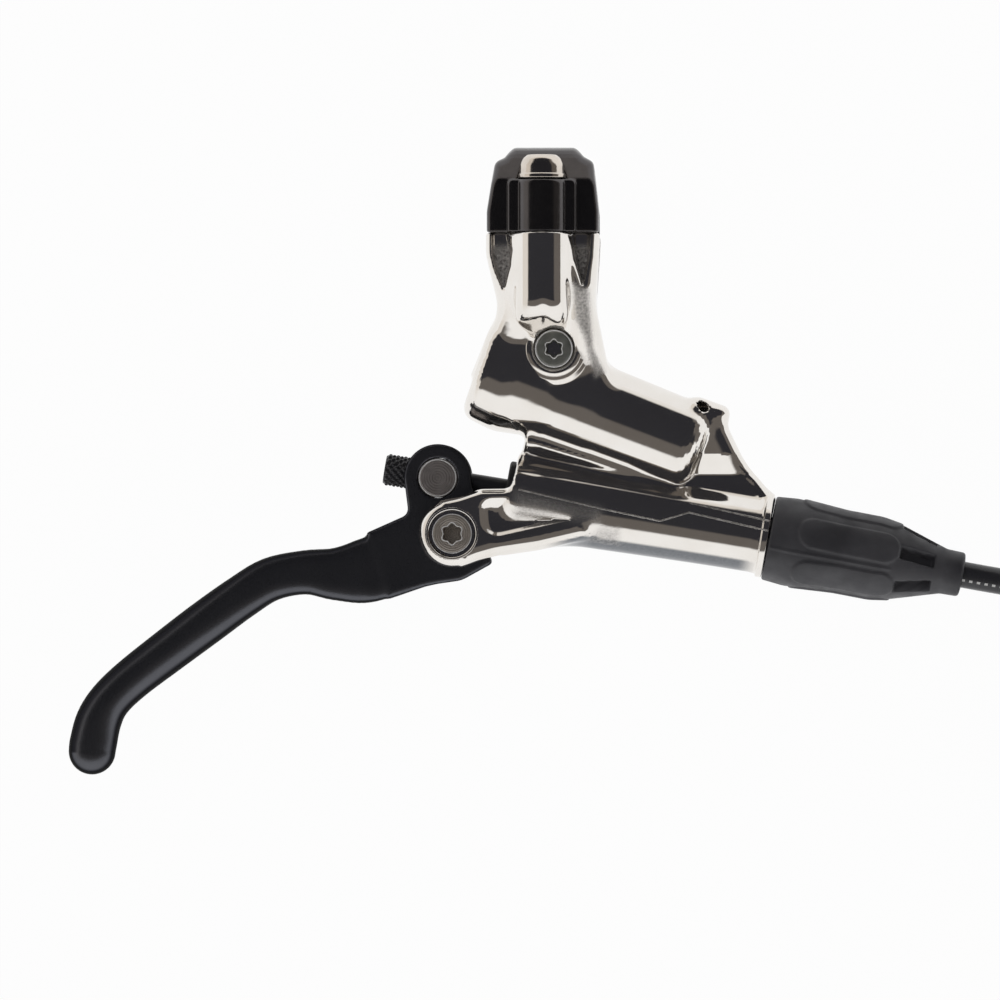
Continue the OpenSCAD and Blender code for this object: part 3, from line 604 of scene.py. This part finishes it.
def polishedAlloy():
    # Forged aluminium, mirror polished: sharp reflections that swim a little over the hand-finished surface,
    # with the recesses that the wheel doesn't reach left matte and grey
    material, tree, shader, place = startMaterial("mirror_polished_aluminium", "#ebe7e2", 1.0, 0.07)
    matte = attributeOf(tree, "matte")
    matte = calculate(tree, "MAXIMUM", matte, etchedLines(tree, place))
    cloud = noiseOf(tree, place, 6, 2)
    grain = noiseOf(tree, place, 0.5, 3, 0.6)
    smear = noiseOf(tree, place, 1.6, 3, 0.55)
    polish = mapped(tree, smear, 0.3, 0.75, 0.045, 0.11)
    polished = times(tree, polish, calculate(tree, "SUBTRACT", 1.0, matte))
    rough = calculate(tree, "ADD", polished, times(tree, matte, 0.7))
    # painted reflection: the cylinder's downward-facing underside is coloured a speckled blue grey in place of the
    # dimmer reflection below it
    paintedUnderReflection = attributeOf(tree, "paintedUnderReflection")
    buffed = mixColours(tree, cloud, "#e6e1da", "#f1eeea")
    bright = mixColours(tree, paintedUnderReflection, buffed, mixColours(tree, grain, "#63666a", "#8a8c90"))
    cast = mixColours(tree, mapped(tree, grain, 0.32, 0.68, 0, 1), "#706c6a", "#dedad6")
    # buffing leaves a faint haze, the cast skin scatters much more
    tree.links.new(calculate(tree, "SUBTRACT", 0.975, times(tree, matte, 0.5)), shader.inputs["Metallic"])
    paint(tree, shader, mixColours(tree, matte, bright, cast), rough)
    ripple = noiseOf(tree, place, 2.4, 2, 0.4)
    height = calculate(tree, "ADD", times(tree, ripple, 0.008),
            times(tree, times(tree, grain, matte), 0.16))
    bumpFrom(tree, shader, height, 1.0)
    return material


def makeBody():
    mesh, points, normals = carved("forgedBody", bodyField, (-27, -67, -21.6), (45.5, 0.6, 21.6), bodyLook["step"])
    x, y, z = points.T
    pockets = np.minimum(outlineField(x, y, pocketLeft), outlineField(x, y, pocketRight))
    u, v = alongAxis(points, bodyLook["barrelEnd"], bodyLook["slope"])
    inBore = ease(1 - (np.hypot(y, z) - bodyLook["barBore"]) / 0.25) * (y > -12)
    inFork = ((np.abs(z) < 5.75) & (u < -48.9) & (np.abs(normals[:, 2]) > 0.7)).astype(float)
    inPockets = ease(1 - (pockets + 0.1) / 0.3) * (np.abs(z) > 11.5) * ease((-y - 1.5) / 3) * 1.3
    matte = np.maximum.reduce([inPockets, inBore, inFork * 0.8])
    for patch, most, soft in zip(castPatches, (0.75, 0.42, 0.45), (1.6, 3.4, 2.6)):
        field = outlineField(x, y, np.array(patch))
        matte = np.maximum(matte, most * ease(0.5 - field / soft) * (np.abs(z) > 4))
    # painted reflection: where the cylinder's underside faces down, its colour is turned a blue grey that stands in for
    # the dimmer reflection below it
    paintedUnderReflection = ease((-normals[:, 1] - 0.66) / 0.07) * ease((-v - 2) / 3) * ease((u + 42) / 6) * ease((-1 - u) / 4)
    makePiece("forgedBody", mesh, alloy, "root", ("master_cylinder_body",),
            {"matte": matte, "paintedUnderReflection": paintedUnderReflection})


alloy = polishedAlloy()
makeBody()


capLook = {"step": 0.38, "bolt": 16, "post": 4.85, "seat": 10.1, "shelf": 6.4}
capFront = roundCorners([[-10.4, -1, 0], [-10.4, 4, 6], [-8.9, 13.4, 1.6], [-7.1, 14.3, 1], [-5.4, 16.7, 1.2],
        [6.2, 16.7, 1.2], [7.8, 14.5, 1], [9.7, 13.4, 1.6], [10.7, 4, 6], [10.7, -1, 0]])
capSide = roundCorners([[15.6, -1, 0], [15.6, 9.5, 3], [9.6, 16.7, 7], [-9.6, 16.7, 7], [-15.6, 9.5, 3],
        [-15.6, -1, 0]])


def capField(p):
    # Outline seen along the pivot, met with the outline seen along the handlebar, with a post at each bolt
    x, y, z = p.T
    depth = np.abs(z)
    cap = meet(outlineField(x, y, capFront), outlineField(z, y, capSide), 1.6)
    post, outside = np.hypot(x, depth - capLook["bolt"]), np.abs(depth - capLook["bolt"])
    shelf = meet(meet(np.abs(x) - capLook["shelf"], y - 9.9, 1.2), outside - 2.1, 0.6)
    cap = join(join(cap, shelf, 0.4), meet(post - capLook["post"], y - capLook["seat"], 1.2), 0.25)
    cap = cut(cap, np.maximum(post - capLook["post"], capLook["seat"] - y), 0.35)
    cap = cut(cap, post - 2.65, 0.2)
    cap = cut(cap, np.hypot(y, z) - bodyLook["barBore"], 0.5)
    return meet(cap, 0.05 - y, 0.35)


def glossAnodised():
    # Black anodised aluminium, polished before the dye bath: a dark mirror that brightens at its edges
    material, tree, shader, place = startMaterial("polished_black_anodising", "#5e5b5a", 0.9, 0.2)
    cloud = noiseOf(tree, place, 5, 3)
    rough = mapped(tree, noiseOf(tree, place, 1.2, 3), 0.3, 0.7, 0.16, 0.25)
    paint(tree, shader, mixColours(tree, cloud, "#504e4f", "#5e5b5b"), rough)
    bumpFrom(tree, shader, noiseOf(tree, place, 2.2, 2), 0.008)
    return material


def makeCap():
    mesh = carved("clampCap", capField, (-11.4, -0.6, -21.4), (11.6, 17.4, 21.4), capLook["step"])[0]
    makePiece("clampCap", mesh, glossAnodised(), "root", ("clamp_cap",))


makeCap()

leverLook = {"step": 0.4, "pinAt": (-19.888, -46.153), "pivot": (-17.1, -56.7), "half": 5.4}
bladeStations = np.array([[-24.5, -60.2, 6.2, 5.65], [-30.5, -62.8, 6.2, 5.65], [-34.7, -64.0, 6.0, 5.6],
        [-39.5, -64.4, 5.0, 5.45], [-45.2, -64.1, 4.2, 5.25], [-51.7, -65.4, 4.15, 5.3],
        [-57.2, -68.7, 4.2, 5.5], [-64.0, -73.6, 4.3, 5.5], [-71.2, -79.0, 4.2, 5.3],
        [-78.3, -84.5, 4.05, 5.1], [-82.4, -88.5, 4.05, 5.0], [-84.5, -92.3, 4.35, 4.8],
        [-85.5, -96.4, 4.5, 4.6], [-85.75, -98.1, 4.45, 4.5]])
leverRoot = roundCorners([[-26.3, -46, 0], [-25.4, -53.2, 2], [-33, -56.6, 0], [-29, -68.4, 0], [-22.3, -66.6, 2],
        [-15.4, -65.6, 5], [-9.6, -62.4, 0.8], [-11.4, -57.5, 2], [-12.6, -50.5, 0],
        [-13.6, -46, 0]])
rodSlot = np.array([[14, 12], [14, -4.4], [-4, -4.5], [-14, -6.6], [-14, 12]], float)
bladeCurve = throughPoints(bladeStations, 5)


def leverField(p):
    # A plate between the fork's ears, and a blade whose section is a superellipse carried along its middle line:
    # nearly square by the root, nearly round by the tip
    x, y, z = p.T
    best, at = np.full(len(p), 1e18), np.zeros(len(p))
    for i in range(len(bladeCurve) - 1):
        ax, ay = bladeCurve[i, :2]
        ex, ey = bladeCurve[i + 1, :2] - bladeCurve[i, :2]
        t = np.clip(((x - ax) * ex + (y - ay) * ey) / (ex * ex + ey * ey), 0, 1)
        d = (x - ax - t * ex) ** 2 + (y - ay - t * ey) ** 2
        closer = d < best
        best = np.where(closer, d, best)
        at = np.where(closer, i + t, at)
    off = np.sqrt(best)
    steps = np.arange(len(bladeCurve))
    wide, deep = np.interp(at, steps, bladeCurve[:, 2]), np.interp(at, steps, bladeCurve[:, 3])
    square = np.interp(at, steps, 2.15 + 3.6 * ease(1 - steps / 42))
    blade = ((off / wide) ** square + (np.abs(z) / deep) ** square) ** (1 / square)
    blade = (blade - 1) * np.minimum(wide, deep)
    px, py = x - leverLook["pinAt"][0], y - leverLook["pinAt"][1]
    qx, qy = x - leverLook["pivot"][0], y - leverLook["pivot"][1]
    plate = np.minimum(np.minimum(outlineField(x, y, leverRoot), np.hypot(px, py) - 6.4), np.hypot(qx, qy) - 6)
    limit = leverLook["half"] + 3 * ease((-31 - x) / 8)
    lever = meet(join(plate, blade, 1.6), np.abs(z) - limit, 0.9)
    lever = cut(lever, np.hypot(qx, qy) - 3.3, 0.1)
    lever = cut(lever, np.hypot(px, py) - 3.8, 0.35)
    return cut(lever, np.maximum(outlineField(px, py, rodSlot), np.abs(z) - 3.4), 0.5)


def satinAnodised():
    # Black anodised aluminium, bead blasted before the dye bath: soft wide highlights over a very fine grain
    material, tree, shader, place = startMaterial("satin_black_anodising", "#56575c", 0.85, 0.3,
            Specular_Tint=(0.02, 0.02, 0.02, 1))
    grain = noiseOf(tree, place, 0.22, 2, 0.6)   # blasted grain, coarser than the real 0.1 mm so that it shows
    cloud = noiseOf(tree, place, 7, 3)
    # painted shade: the colour is darkened towards the lever's narrow edges, where they tilt away from the flat faces
    edge = attributeOf(tree, "edge")
    colour = mixColours(tree, edge, mixColours(tree, cloud, "#56575c", "#626368"), "#2b2b2f")
    paint(tree, shader, colour, mapped(tree, grain, 0.25, 0.75, 0.26, 0.38))
    bumpFrom(tree, shader, grain, 0.012)
    return material


def makeLever():
    mesh, points, normals = carved("leverBlade", leverField, (-91.5, -103.5, -6.4), (-8.5, -38.8, 6.4),
            leverLook["step"])
    # painted shade: the colour is darkened on the narrow edges where the surface tilts away from the flat faces, from
    # 28° on the back and 46° on the front, to dim their reflections
    tilt = np.degrees(np.arccos(np.clip(np.abs(normals[:, 2]), 0, 1)))
    start = np.where(normals[:, 1] > 0, 28, 46)
    edge = ease((tilt - start) / 16)
    makePiece("leverBlade", mesh, satinAnodised(), "lever", ("lever_blade",), {"edge": edge})


makeLever()
print("forged and machined shapes made")


def simpleFinish(name, colour, metallic, roughness, blotch, depth, **sockets):
    # A finish with a slight change of tone and roughness and a fine grain; blotch and depth in millimetres
    material, tree, shader, place = startMaterial(name, colour, metallic, roughness, **sockets)
    tone = noiseOf(tree, place, blotch, 3)
    paint(tree, shader, mixColours(tree, tone, *shades(colour, 0.86, 1.12)),
            mapped(tree, tone, 0.3, 0.7, roughness * 0.8, roughness * 1.2))
    bumpFrom(tree, shader, noiseOf(tree, place, blotch * 0.15, 2), depth)
    return material


finishes = {
        "nickel": simpleFinish("bright_nickel_plate", "#d8cfc5", 1.0, 0.14, 3, 0.004),
        "bronzed": simpleFinish("bronzed_steel", "#8d837b", 1.0, 0.24, 2, 0.004),
        "blackSteel": simpleFinish("black_oxide_steel", "#3a3a3d", 0.3, 0.32, 2, 0.006),
        "phosphate": simpleFinish("phosphated_steel", "#868782", 0.5, 0.36, 1.2, 0.008),
        # painted highlight: near-white and hardly metallic, for the glints along bare turned edges
        "edge": simpleFinish("bare_turned_edge", "#e9e8e6", 0.1, 0.4, 1.0, 0.004),
        "rubber": simpleFinish("moulded_nitrile_rubber", "#2c2c2e", 0.0, 0.6, 3, 0.01),
        "brass": simpleFinish("turned_brass", "#c9a75c", 1.0, 0.22, 3, 0.004),
        "bush": simpleFinish("sintered_bronze", "#a8794a", 1.0, 0.42, 0.6, 0.01),
        "spring": simpleFinish("spring_steel_wire", "#8e8f92", 1.0, 0.28, 1, 0.004),
        "grey": simpleFinish("grey_hard_anodising", "#6c6d70", 0.7, 0.35, 3, 0.006),
        }


def sixLobes(first, last, amount=0.1):
    # Rows from first to last of a profile get six rounded points: radius times 1 - amount + amount cos 6a
    def lobes(angle, profile):
        share = np.zeros(len(profile))
        share[first:last] = amount
        return 1 - share[:, None] + share[:, None] * np.cos(6 * angle)
    return lobes


def socketRows(top, radius, depth):
    # A lead-in, a wall and a cone-shaped floor, from the rim inwards
    return np.array([[top, radius + 0.28], [top - 0.12, radius + 0.06], [top - 0.35, radius], [top - depth, radius],
            [top - depth - 0.25, radius * 0.8], [top - depth - 0.6, 0.02]])


def addBolt(name, corners, socket, origin, material, replaces, axis=(0, 0, 1), up=(0, 1, 0)):
    # Outline from the far end to the head's face, then the socket; corners as distance, radius and rounding
    outer = roundCorners(corners, 5, closed=False)
    profile = np.vstack([outer, socketRows(corners[-1][0], *socket)])
    rings = turnedRings(profile, origin, axis, up, 120, sixLobes(len(outer) + 1, len(profile) - 1))
    makePiece(name, rowsToMesh(name, rings), material, "root", replaces)


def barrelPoint(u, v=1.1):
    c, s = cosSin(bodyLook["slope"])
    return np.array([bodyLook["barrelEnd"][0] + u * c + v * s, bodyLook["barrelEnd"][1] - u * s + v * c, 0.0])


barrelAxis = unitOf(barrelPoint(1) - barrelPoint(0))


def turnedFinish(name, colour, metallic, roughness, centre, pitch, depth):
    # Turned face: fine rings round the centre, from the tool's feed; pitch and depth in millimetres
    material, tree, shader, place = startMaterial(name, colour, metallic, roughness)
    apart = addNode(tree, "VectorMath", {0: place, 1: tuple(v * mm for v in centre)}, operation="SUBTRACT").outputs[0]
    flat = addNode(tree, "VectorMath", {0: apart, 1: (1, 1, 0)}, operation="MULTIPLY").outputs[0]
    distance = addNode(tree, "VectorMath", {0: flat}, operation="LENGTH").outputs["Value"]
    rings = calculate(tree, "SINE", times(tree, distance, 2 * math.pi / (pitch * mm)))
    tone = noiseOf(tree, place, 1.5, 3)
    paint(tree, shader, mixColours(tree, tone, *shades(colour, 0.85, 1.15)))
    bumpFrom(tree, shader, rings, depth)
    return material


pivot3 = (*bodyLook["pivot"], 0.0)
bleed3 = (*bodyLook["bleed"], 0.0)
pin3 = (*leverLook["pinAt"], 0.0)
upZ, upY = (0, 0, 1), (0, 1, 0)


def makeEdge(name, top, radius, origin, body, amount):
    # A bead 0.26 mm wide and 0.04 mm high that follows a round or six-lobed edge, in a near-white finish that is a
    # painted highlight
    profile = np.array([[top - 0.15, radius - 0.13], [top + 0.02, radius - 0.11], [top + 0.04, radius],
            [top + 0.02, radius + 0.11], [top - 0.15, radius + 0.13]])
    rings = turnedRings(profile, origin, upZ, upY, 144, sixLobes(0, 5, amount))
    makePiece(name, rowsToMesh(name, rings, closeRows=True), finishes["edge"], body)


def makeTurned():
    # the bleed screw, its rim, near-white as a painted highlight, and the stepped cone it sits on
    addBolt("bleedScrew", [[3.4, 0.02, 0], [3.4, 2.4, 0], [9.2, 2.4, 0], [9.2, 3.3, 0], [10.5, 3.3, 0.3],
            [10.6, 2.9, 0.1]], (1.62, 1.7), bleed3, finishes["phosphate"], ("bleed_screw",))
    addTurned("bleedRing", [[9.5, 3.26, 0], [10.5, 3.26, 0.15], [10.5, 3.58, 0.15], [9.5, 3.58, 0]], bleed3, 128,
            finishes["edge"])
    addTurned("bleedSeat", [[6.0, 4.6, 0], [9.5, 3.62, 0.1], [10.05, 4.2, 0.1], [10.25, 4.6, 0.2],
            [9.95, 5.2, 0.1], [9.8, 5.28, 0.1], [9.62, 5.95, 0.1], [9.42, 6.05, 0.1], [9.12, 6.75, 0.15],
            [8.8, 6.95, 0.2], [8.0, 7.3, 0.2], [5.5, 7.4, 0], [4.0, 6.0, 0]], bleed3, 160, alloy,
            steps=4)
    # painted highlights: near-white beads along the socket and head edges, which the tool left bare, stand in for their
    # glints
    makeEdge("bleedSocketEdge", 10.6, 1.83, bleed3, "root", 0.1)
    makeEdge("pivotSocketEdge", 8.2, 2.13, pivot3, "root", 0.1)
    makeEdge("pivotHeadEdge", 8.1, 3.64, pivot3, "root", 0)
    makeEdge("crossPinEdge", 5.3, 3.45, pin3, "trunnion", 0)
    # the pivot bolt in its counterbore and the counterbore's rim
    addBolt("pivotBolt", [[-7.7, 0.02, 0], [-7.7, 2.5, 0.3], [6.75, 2.5, 0], [6.75, 3.7, 0], [8.1, 3.7, 0.25],
            [8.2, 3.4, 0.2]], (1.9, 2.0), pivot3,
            turnedFinish("turned_bronzed_steel", "#a29a92", 0.35, 0.34, pivot3, 0.4, 0.03),
            ("pivot_bolt",))
    addTurned("pivotRim", [[7.2, 4.5, 0], [8.28, 4.45, 0.12], [8.42, 4.62, 0.1], [8.32, 4.95, 0.1], [7.4, 4.95, 0]],
            pivot3, 128, alloy)
    # the cross pin in the lever's boss
    addTurned("crossPin", [[-5.4, 0.02, 0], [-5.4, 3.3, 0.15], [-5.12, 3.34, 0.05], [-5.12, 3.74, 0.15],
            [5.12, 3.74, 0.2], [5.12, 3.42, 0.08], [5.3, 3.36, 0.1], [5.4, 3.1, 0.4], [5.4, 0.02, 0]], pin3, 120,
            turnedFinish("turned_grey_steel", "#8a8482", 0.4, 0.34, pin3, 0.5, 0.02),
            ("cross_pin",), "trunnion", ring=False)
    # the clamp's bolts: domed heads over long shanks
    for side, place in (("Front", capLook["bolt"]), ("Back", -capLook["bolt"])):
        addBolt("clampBolt" + side, [[-11, 0.02, 0], [-11, 2.4, 0.4], [10.15, 2.4, 0], [10.15, 4.5, 0.2],
                [10.85, 4.5, 0.3], [11.05, 4.25, 0.1], [12.7, 4.1, 2.5], [13.9, 3.55, 1.6], [14.5, 2.75, 0.4],
                [14.55, 2.45, 0.1]], (2.1, 2.2), (0, 0, place), finishes["nickel"],
                ("clamp_bolts",) if side == "Front" else (), upY, upZ)
    # the ring at the cylinder's hose end
    addTurned("barrelFlange", [[-3.0, 6.4, 0], [-2.2, 6.95, 0.6], [-1.35, 7.2, 0.3], [-1.2, 7.68, 0.15],
            [-0.05, 7.68, 0.2], [0.0, 7.3, 0.1], [0.0, 4.6, 0.1], [-3.0, 4.6, 0]], barrelPoint(0, 0), 160, alloy,
            axis=barrelAxis, up=upZ)


knobLook = {"from": -73.8, "to": -68.6, "columns": 144, "grooves": 14, "lead": 1.45}


def makeKnob():
    # Diamond knurl: two families of grooves that wind opposite ways, each a cosine in the angle and the distance
    look = knobLook
    along = np.linspace(look["from"], look["to"], 44)
    inside = (ease((along - along[0]) / 0.5) * ease((along[-1] - along) / 0.5))[:, None]

    def knurled(angle, profile):
        lead = 2 * np.pi * (along[:, None] - look["from"]) / look["lead"]
        knurl = 0.13 * (np.cos(look["grooves"] * angle + lead) + np.cos(look["grooves"] * angle - lead))
        return 2.62 + 0.2 * inside + np.clip(knurl, -0.2, 0.2) * inside

    rings = turnedRings(np.stack([along, np.ones(len(along))], -1), barrelPoint(0), barrelAxis, upZ, look["columns"],
            knurled)
    mesh = rowsToMesh("reachKnob", rings)
    makePiece("reachKnob", mesh, finishes["blackSteel"], "rod", ("reach_knob",))


bootLook = {"firstSlot": -18.0, "slotFrom": 25.2, "slotTo": 31.8, "slotHalf": 1.25, "slotDepth": 2.3,
        "panelFrom": 5.5, "panelTo": 25.0, "panelHalf": 3.0, "panelRise": 0.28,
        "slope": 10.8, "columns": 192, "parting": 12.5}


def makeBoot():
    # Radius along the boot from its outline, less a window in distance and angle for each slot,
    # plus a low pad with a round end behind each slot
    outer = roundCorners([[0.3, 6.6, 0], [0.3, 8.0, 0.4], [4.6, 8.4, 8], [14, 7.75, 14], [21, 7.75, 10], [25, 7.1, 8],
            [34.0, 4.3, 2], [37.5, 4.2, 0.6], [37.7, 2.9, 0]], 6, closed=False)
    inner = np.array([[37.7, 2.6], [29, 2.6], [20, 5.2], [12, 6.3], [0.3, 6.5]])
    gone = np.concatenate([[0], np.cumsum(np.linalg.norm(np.diff(outer, axis=0), axis=1))])
    fine = np.linspace(0, gone[-1], 150)
    outer = np.stack([np.interp(fine, gone, outer[:, k]) for k in (0, 1)], -1)
    profile = np.vstack([outer, inner])
    look = bootLook
    angle = np.arange(look["columns"]) * 360 / look["columns"]
    u, radius = profile[:, :1], profile[:, 1:]
    apart = (angle[None] - look["firstSlot"] + 30) % 60 - 30
    across = np.abs(np.radians(apart)) * radius
    slot = (ease((u - look["slotFrom"]) / 0.35 + 0.5) * ease((look["slotTo"] - u) / 0.35 + 0.5)
            * ease((look["slotHalf"] - across) / 0.3 + 0.5))
    padEnd = np.maximum(0, np.maximum(look["panelFrom"] + 3 - u, u - look["panelTo"] + 3))
    pad = ease((look["panelHalf"] - np.hypot(across, padEnd)) / 0.35 + 0.5)
    outside = (np.arange(len(profile)) < len(outer))[:, None] & (u > 0.6)
    # the mould's parting line runs between two pads
    parting = 0.14 * (np.abs(angle[None] - look["parting"]) < 1.5) * (u < 24)
    change = np.where(outside, look["panelRise"] * pad + parting - look["slotDepth"] * slot, 0)
    c, s = cosSin(look["slope"])
    axis = np.array([c, -s, 0])
    rings = turnedRings(np.hstack([u, np.ones_like(u)]), barrelPoint(0, 0), axis, upZ, look["columns"],
            lambda *_: radius + change)
    mesh = rowsToMesh("hoseBoot", rings, closeRows=True)
    makePiece("hoseBoot", mesh, bootRubber(), "root", ("hose_boot",))


def bootRubber():
    # Injection moulded soft rubber: matte, a very fine sparked texture, paler where it is handled
    material, tree, shader, place = startMaterial("moulded_soft_rubber", "#434345", 0.0, 0.5)
    tone = noiseOf(tree, place, 11, 3)
    rough = mapped(tree, noiseOf(tree, place, 2.5, 3), 0.3, 0.7, 0.42, 0.62)
    paint(tree, shader, mixColours(tree, mapped(tree, tone, 0.35, 0.65, 0, 1), "#3f3f43", "#57575b"), rough)
    bumpFrom(tree, shader, noiseOf(tree, place, 0.3, 2), 0.02)   # sparked texture, drawn at 0.3 mm
    return material


def makeTies():
    # Flat rubber bands: a rounded strip section carried round the four turns they hold
    corners = [(23.12, -20.68), (33.88, -20.68), (33.88, -9.92), (23.12, -9.92)]
    for number, turn in enumerate((160, 220, 280)):
        corner = roundCorners([[*place, 1.8] for place in corners], 6)
        ahead = unitOf(np.roll(corner, -1, 0) - np.roll(corner, 1, 0))
        out = np.stack([ahead[:, 1], -ahead[:, 0]], -1)
        s = np.arange(12) * 2 * np.pi / 12
        across = np.sign(np.cos(s)) * np.abs(np.cos(s)) ** 0.4 * 2.0
        thick = np.sign(np.sin(s)) * np.abs(np.sin(s)) ** 0.6 * 0.3
        flat = corner[:, None] + thick[None, :, None] * out[:, None]
        c, q = cosSin(turn)
        x, y = hoseLook["coil"]
        points = np.stack([x + flat[..., 0] * c - across * q, y + flat[..., 0] * q + across * c, flat[..., 1]], -1)
        name = f"hoseTie{number + 1}"
        makePiece(name, rowsToMesh(name, points, closeRows=True), finishes["rubber"], "root",
                ("hose_ties",) if number == 0 else ())


springLook = {"radius": 3.1, "wire": 0.35, "turns": 6, "from": -28.95, "to": -12.45, "travel": 4.5}


def makeSpring():
    # Helix round the bore's axis, drawn at rest; the real spring shortens towards its seat as the piston slides in
    look = springLook
    t = np.linspace(0, 1, look["turns"] * 24 + 1)[:, None]
    angle = t * look["turns"] * 2 * np.pi
    side = np.cross(barrelAxis, upZ)
    along = look["from"] + (look["to"] - look["from"]) * t
    path = barrelPoint(0) + along * barrelAxis + look["radius"] * (np.cos(angle) * side + np.sin(angle) * np.array(upZ))
    mesh = rowsToMesh("springWire", tubeRings(path, look["wire"], 10, barrelAxis))
    piece = makePiece("springWire", mesh, finishes["spring"], "root", ("return_spring",))
    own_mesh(piece)


def makeFitting():
    # Turned end fitting: a sleeve, a hexagon and a nose with its pipe seat
    axis = np.array([*cosSin(-78.5), 0])
    corners = [[0, 2.55, 0], [0, 3.3, 0.3], [1.2, 3.7, 0.3], [10.6, 3.7, 0.2], [11, 5.0, 0], [11.6, 5.3, 0.3],
            [15.6, 5.3, 0.3], [16, 4.6, 0.1], [16.1, 3.6, 0.1], [23, 3.6, 0.2], [23.4, 3.0, 0.2], [25, 2.2, 0.3],
            [25, 1.0, 0.1], [18, 1.0, 0.1], [17.9, 0.02, 0]]
    outer = roundCorners(corners, 5, closed=False)
    outer = np.vstack([[[7, 0.02]], [[7, 2.55]], outer])

    def hexagon(angle, profile):
        flat = math.radians(30)
        wrapped = (angle + flat) % (2 * flat) - flat
        share = ((profile[:, 0] > 10.9) & (profile[:, 0] < 16.05) & (profile[:, 1] > 4.5))[:, None]
        return np.where(share, 0.98 / np.cos(wrapped) * 0.95, 1.0)

    rings = turnedRings(outer, (164.17, -119.93, -16.0), axis, upZ, 144, hexagon)
    mesh = rowsToMesh("endFitting", rings)
    makePiece("endFitting", mesh, finishes["nickel"], "root", ("hose_end_fitting",))


makeTurned()
makeKnob()
makeBoot()
makeTies()
makeSpring()
makeFitting()
print("turned and moulded pieces made")

nodeFinishes = {
        "reservoir_plug": "grey", "reservoir_bladder": "rubber", "bleed_seal": "rubber", "pivot_nut": "bronzed",
        "circlip": "spring", "dust_wiper": "rubber", "hose_nut": "blackSteel", "hose_olive": "brass",
        "hose_barb": "brass",
        "pivot_bush": "bush", "push_rod": "blackSteel", "piston": "grey", "primary_seal": "rubber",
        "secondary_seal": "rubber"}
for nodeName, finishName in nodeFinishes.items():
    slots = nodes[nodeName].material_slots
    for k in range(len(slots)):
        slots[k].material = finishes[finishName]
print("finishes given")


def makeFloor():
    material, tree, shader, place = startMaterial("white_paper_floor", "#fafafa", 0.0, 0.9)
    path = addNode(tree, "LightPath")
    seen = calculate(tree, "MAXIMUM", path.outputs["Is Camera Ray"], path.outputs["Is Glossy Ray"])
    seen = calculate(tree, "MAXIMUM", seen, path.outputs["Is Transmission Ray"])
    white = addNode(tree, "Emission", {"Color": (1, 1, 1, 1), "Strength": 1.0})
    mix = addNode(tree, "MixShader", {0: times(tree, seen, 0.97)})
    tree.links.new(shader.outputs[0], mix.inputs[1])
    tree.links.new(white.outputs[0], mix.inputs[2])
    tree.links.new(mix.outputs[0], tree.nodes["Material Output"].inputs["Surface"])
    side = 3000.0
    points = np.array([[x * side, y * side, -21.0] for x, y in ((-1, -1), (1, -1), (1, 1), (-1, 1))])
    mesh = bpy.data.meshes.new("floor")
    mesh.from_pydata((points * mm).tolist(), [], [(0, 1, 2, 3)])
    mesh.materials.append(material)
    addObject("floor", mesh)


# angles in degrees from straight above, towards +Y and towards +X
worldLook = {"dark": "#29292e", "half": "#66615d", "cream": "#e9e4de", "white": "#ffffff", "strength": 1.0,
        "darkUp": (-12, 74), "darkAcross": (-61, 55), "halfUp": (-42, 74), "halfAcross": (-61, 108), "soft": 3.5}


def makeWorld(look):
    # A studio seen from the object: dark ceiling round and above the camera, a half-shaded strip below
    # and to the right of it, pale cloth everywhere else
    world = bpy.data.worlds.new("studio")
    bpy.context.scene.world = world
    world.use_nodes = True
    tree = world.node_tree
    direction = addNode(tree, "SeparateXYZ", {"Vector": addNode(tree, "TexCoord").outputs["Generated"]}).outputs
    up = calculate(tree, "DEGREES", calculate(tree, "ARCTAN2", direction["Y"], direction["Z"]))
    across = calculate(tree, "DEGREES", calculate(tree, "ARCTAN2", direction["X"], direction["Z"]))

    def between(angle, low, high):
        soft = look["soft"]
        return times(tree, mapped(tree, angle, low - soft, low + soft, 0, 1, True),
                mapped(tree, angle, high - soft, high + soft, 1, 0, True))

    dark = times(tree, between(up, *look["darkUp"]), between(across, *look["darkAcross"]))
    half = times(tree, between(up, *look["halfUp"]), between(across, *look["halfAcross"]))
    leftUp = calculate(tree, "SUBTRACT", up, across)
    cloth = mixColours(tree, mapped(tree, leftUp, -10, 40, 0, 1, True), look["white"], look["cream"])
    colour = mixColours(tree, dark, mixColours(tree, half, cloth, look["half"]), look["dark"])
    # the camera itself sees a plain white background
    path = addNode(tree, "LightPath")
    background = tree.nodes["Background"]
    tree.links.new(mixColours(tree, path.outputs["Is Camera Ray"], colour, "#ffffff"), background.inputs["Color"])
    background.inputs["Strength"].default_value = look["strength"]


# in watts and metres
lampLook = {"power": 2.4, "size": 0.9, "at": (-0.25, 0.25, 1.1)}


def makeLamp(look):
    # A soft box over the table that lights matte surfaces and leaves the reflections to the cloth
    data = bpy.data.lights.new("softBox", "AREA")
    data.energy = look["power"]
    data.size = look["size"]
    lamp = addObject("softBox", data)
    lamp.location = look["at"]
    lamp.rotation_euler = (Vector((0, 0, 0)) - Vector(look["at"])).to_track_quat("-Z", "Y").to_euler()
    lamp.visible_glossy = False


makeFloor()
makeWorld(worldLook)
makeLamp(lampLook)
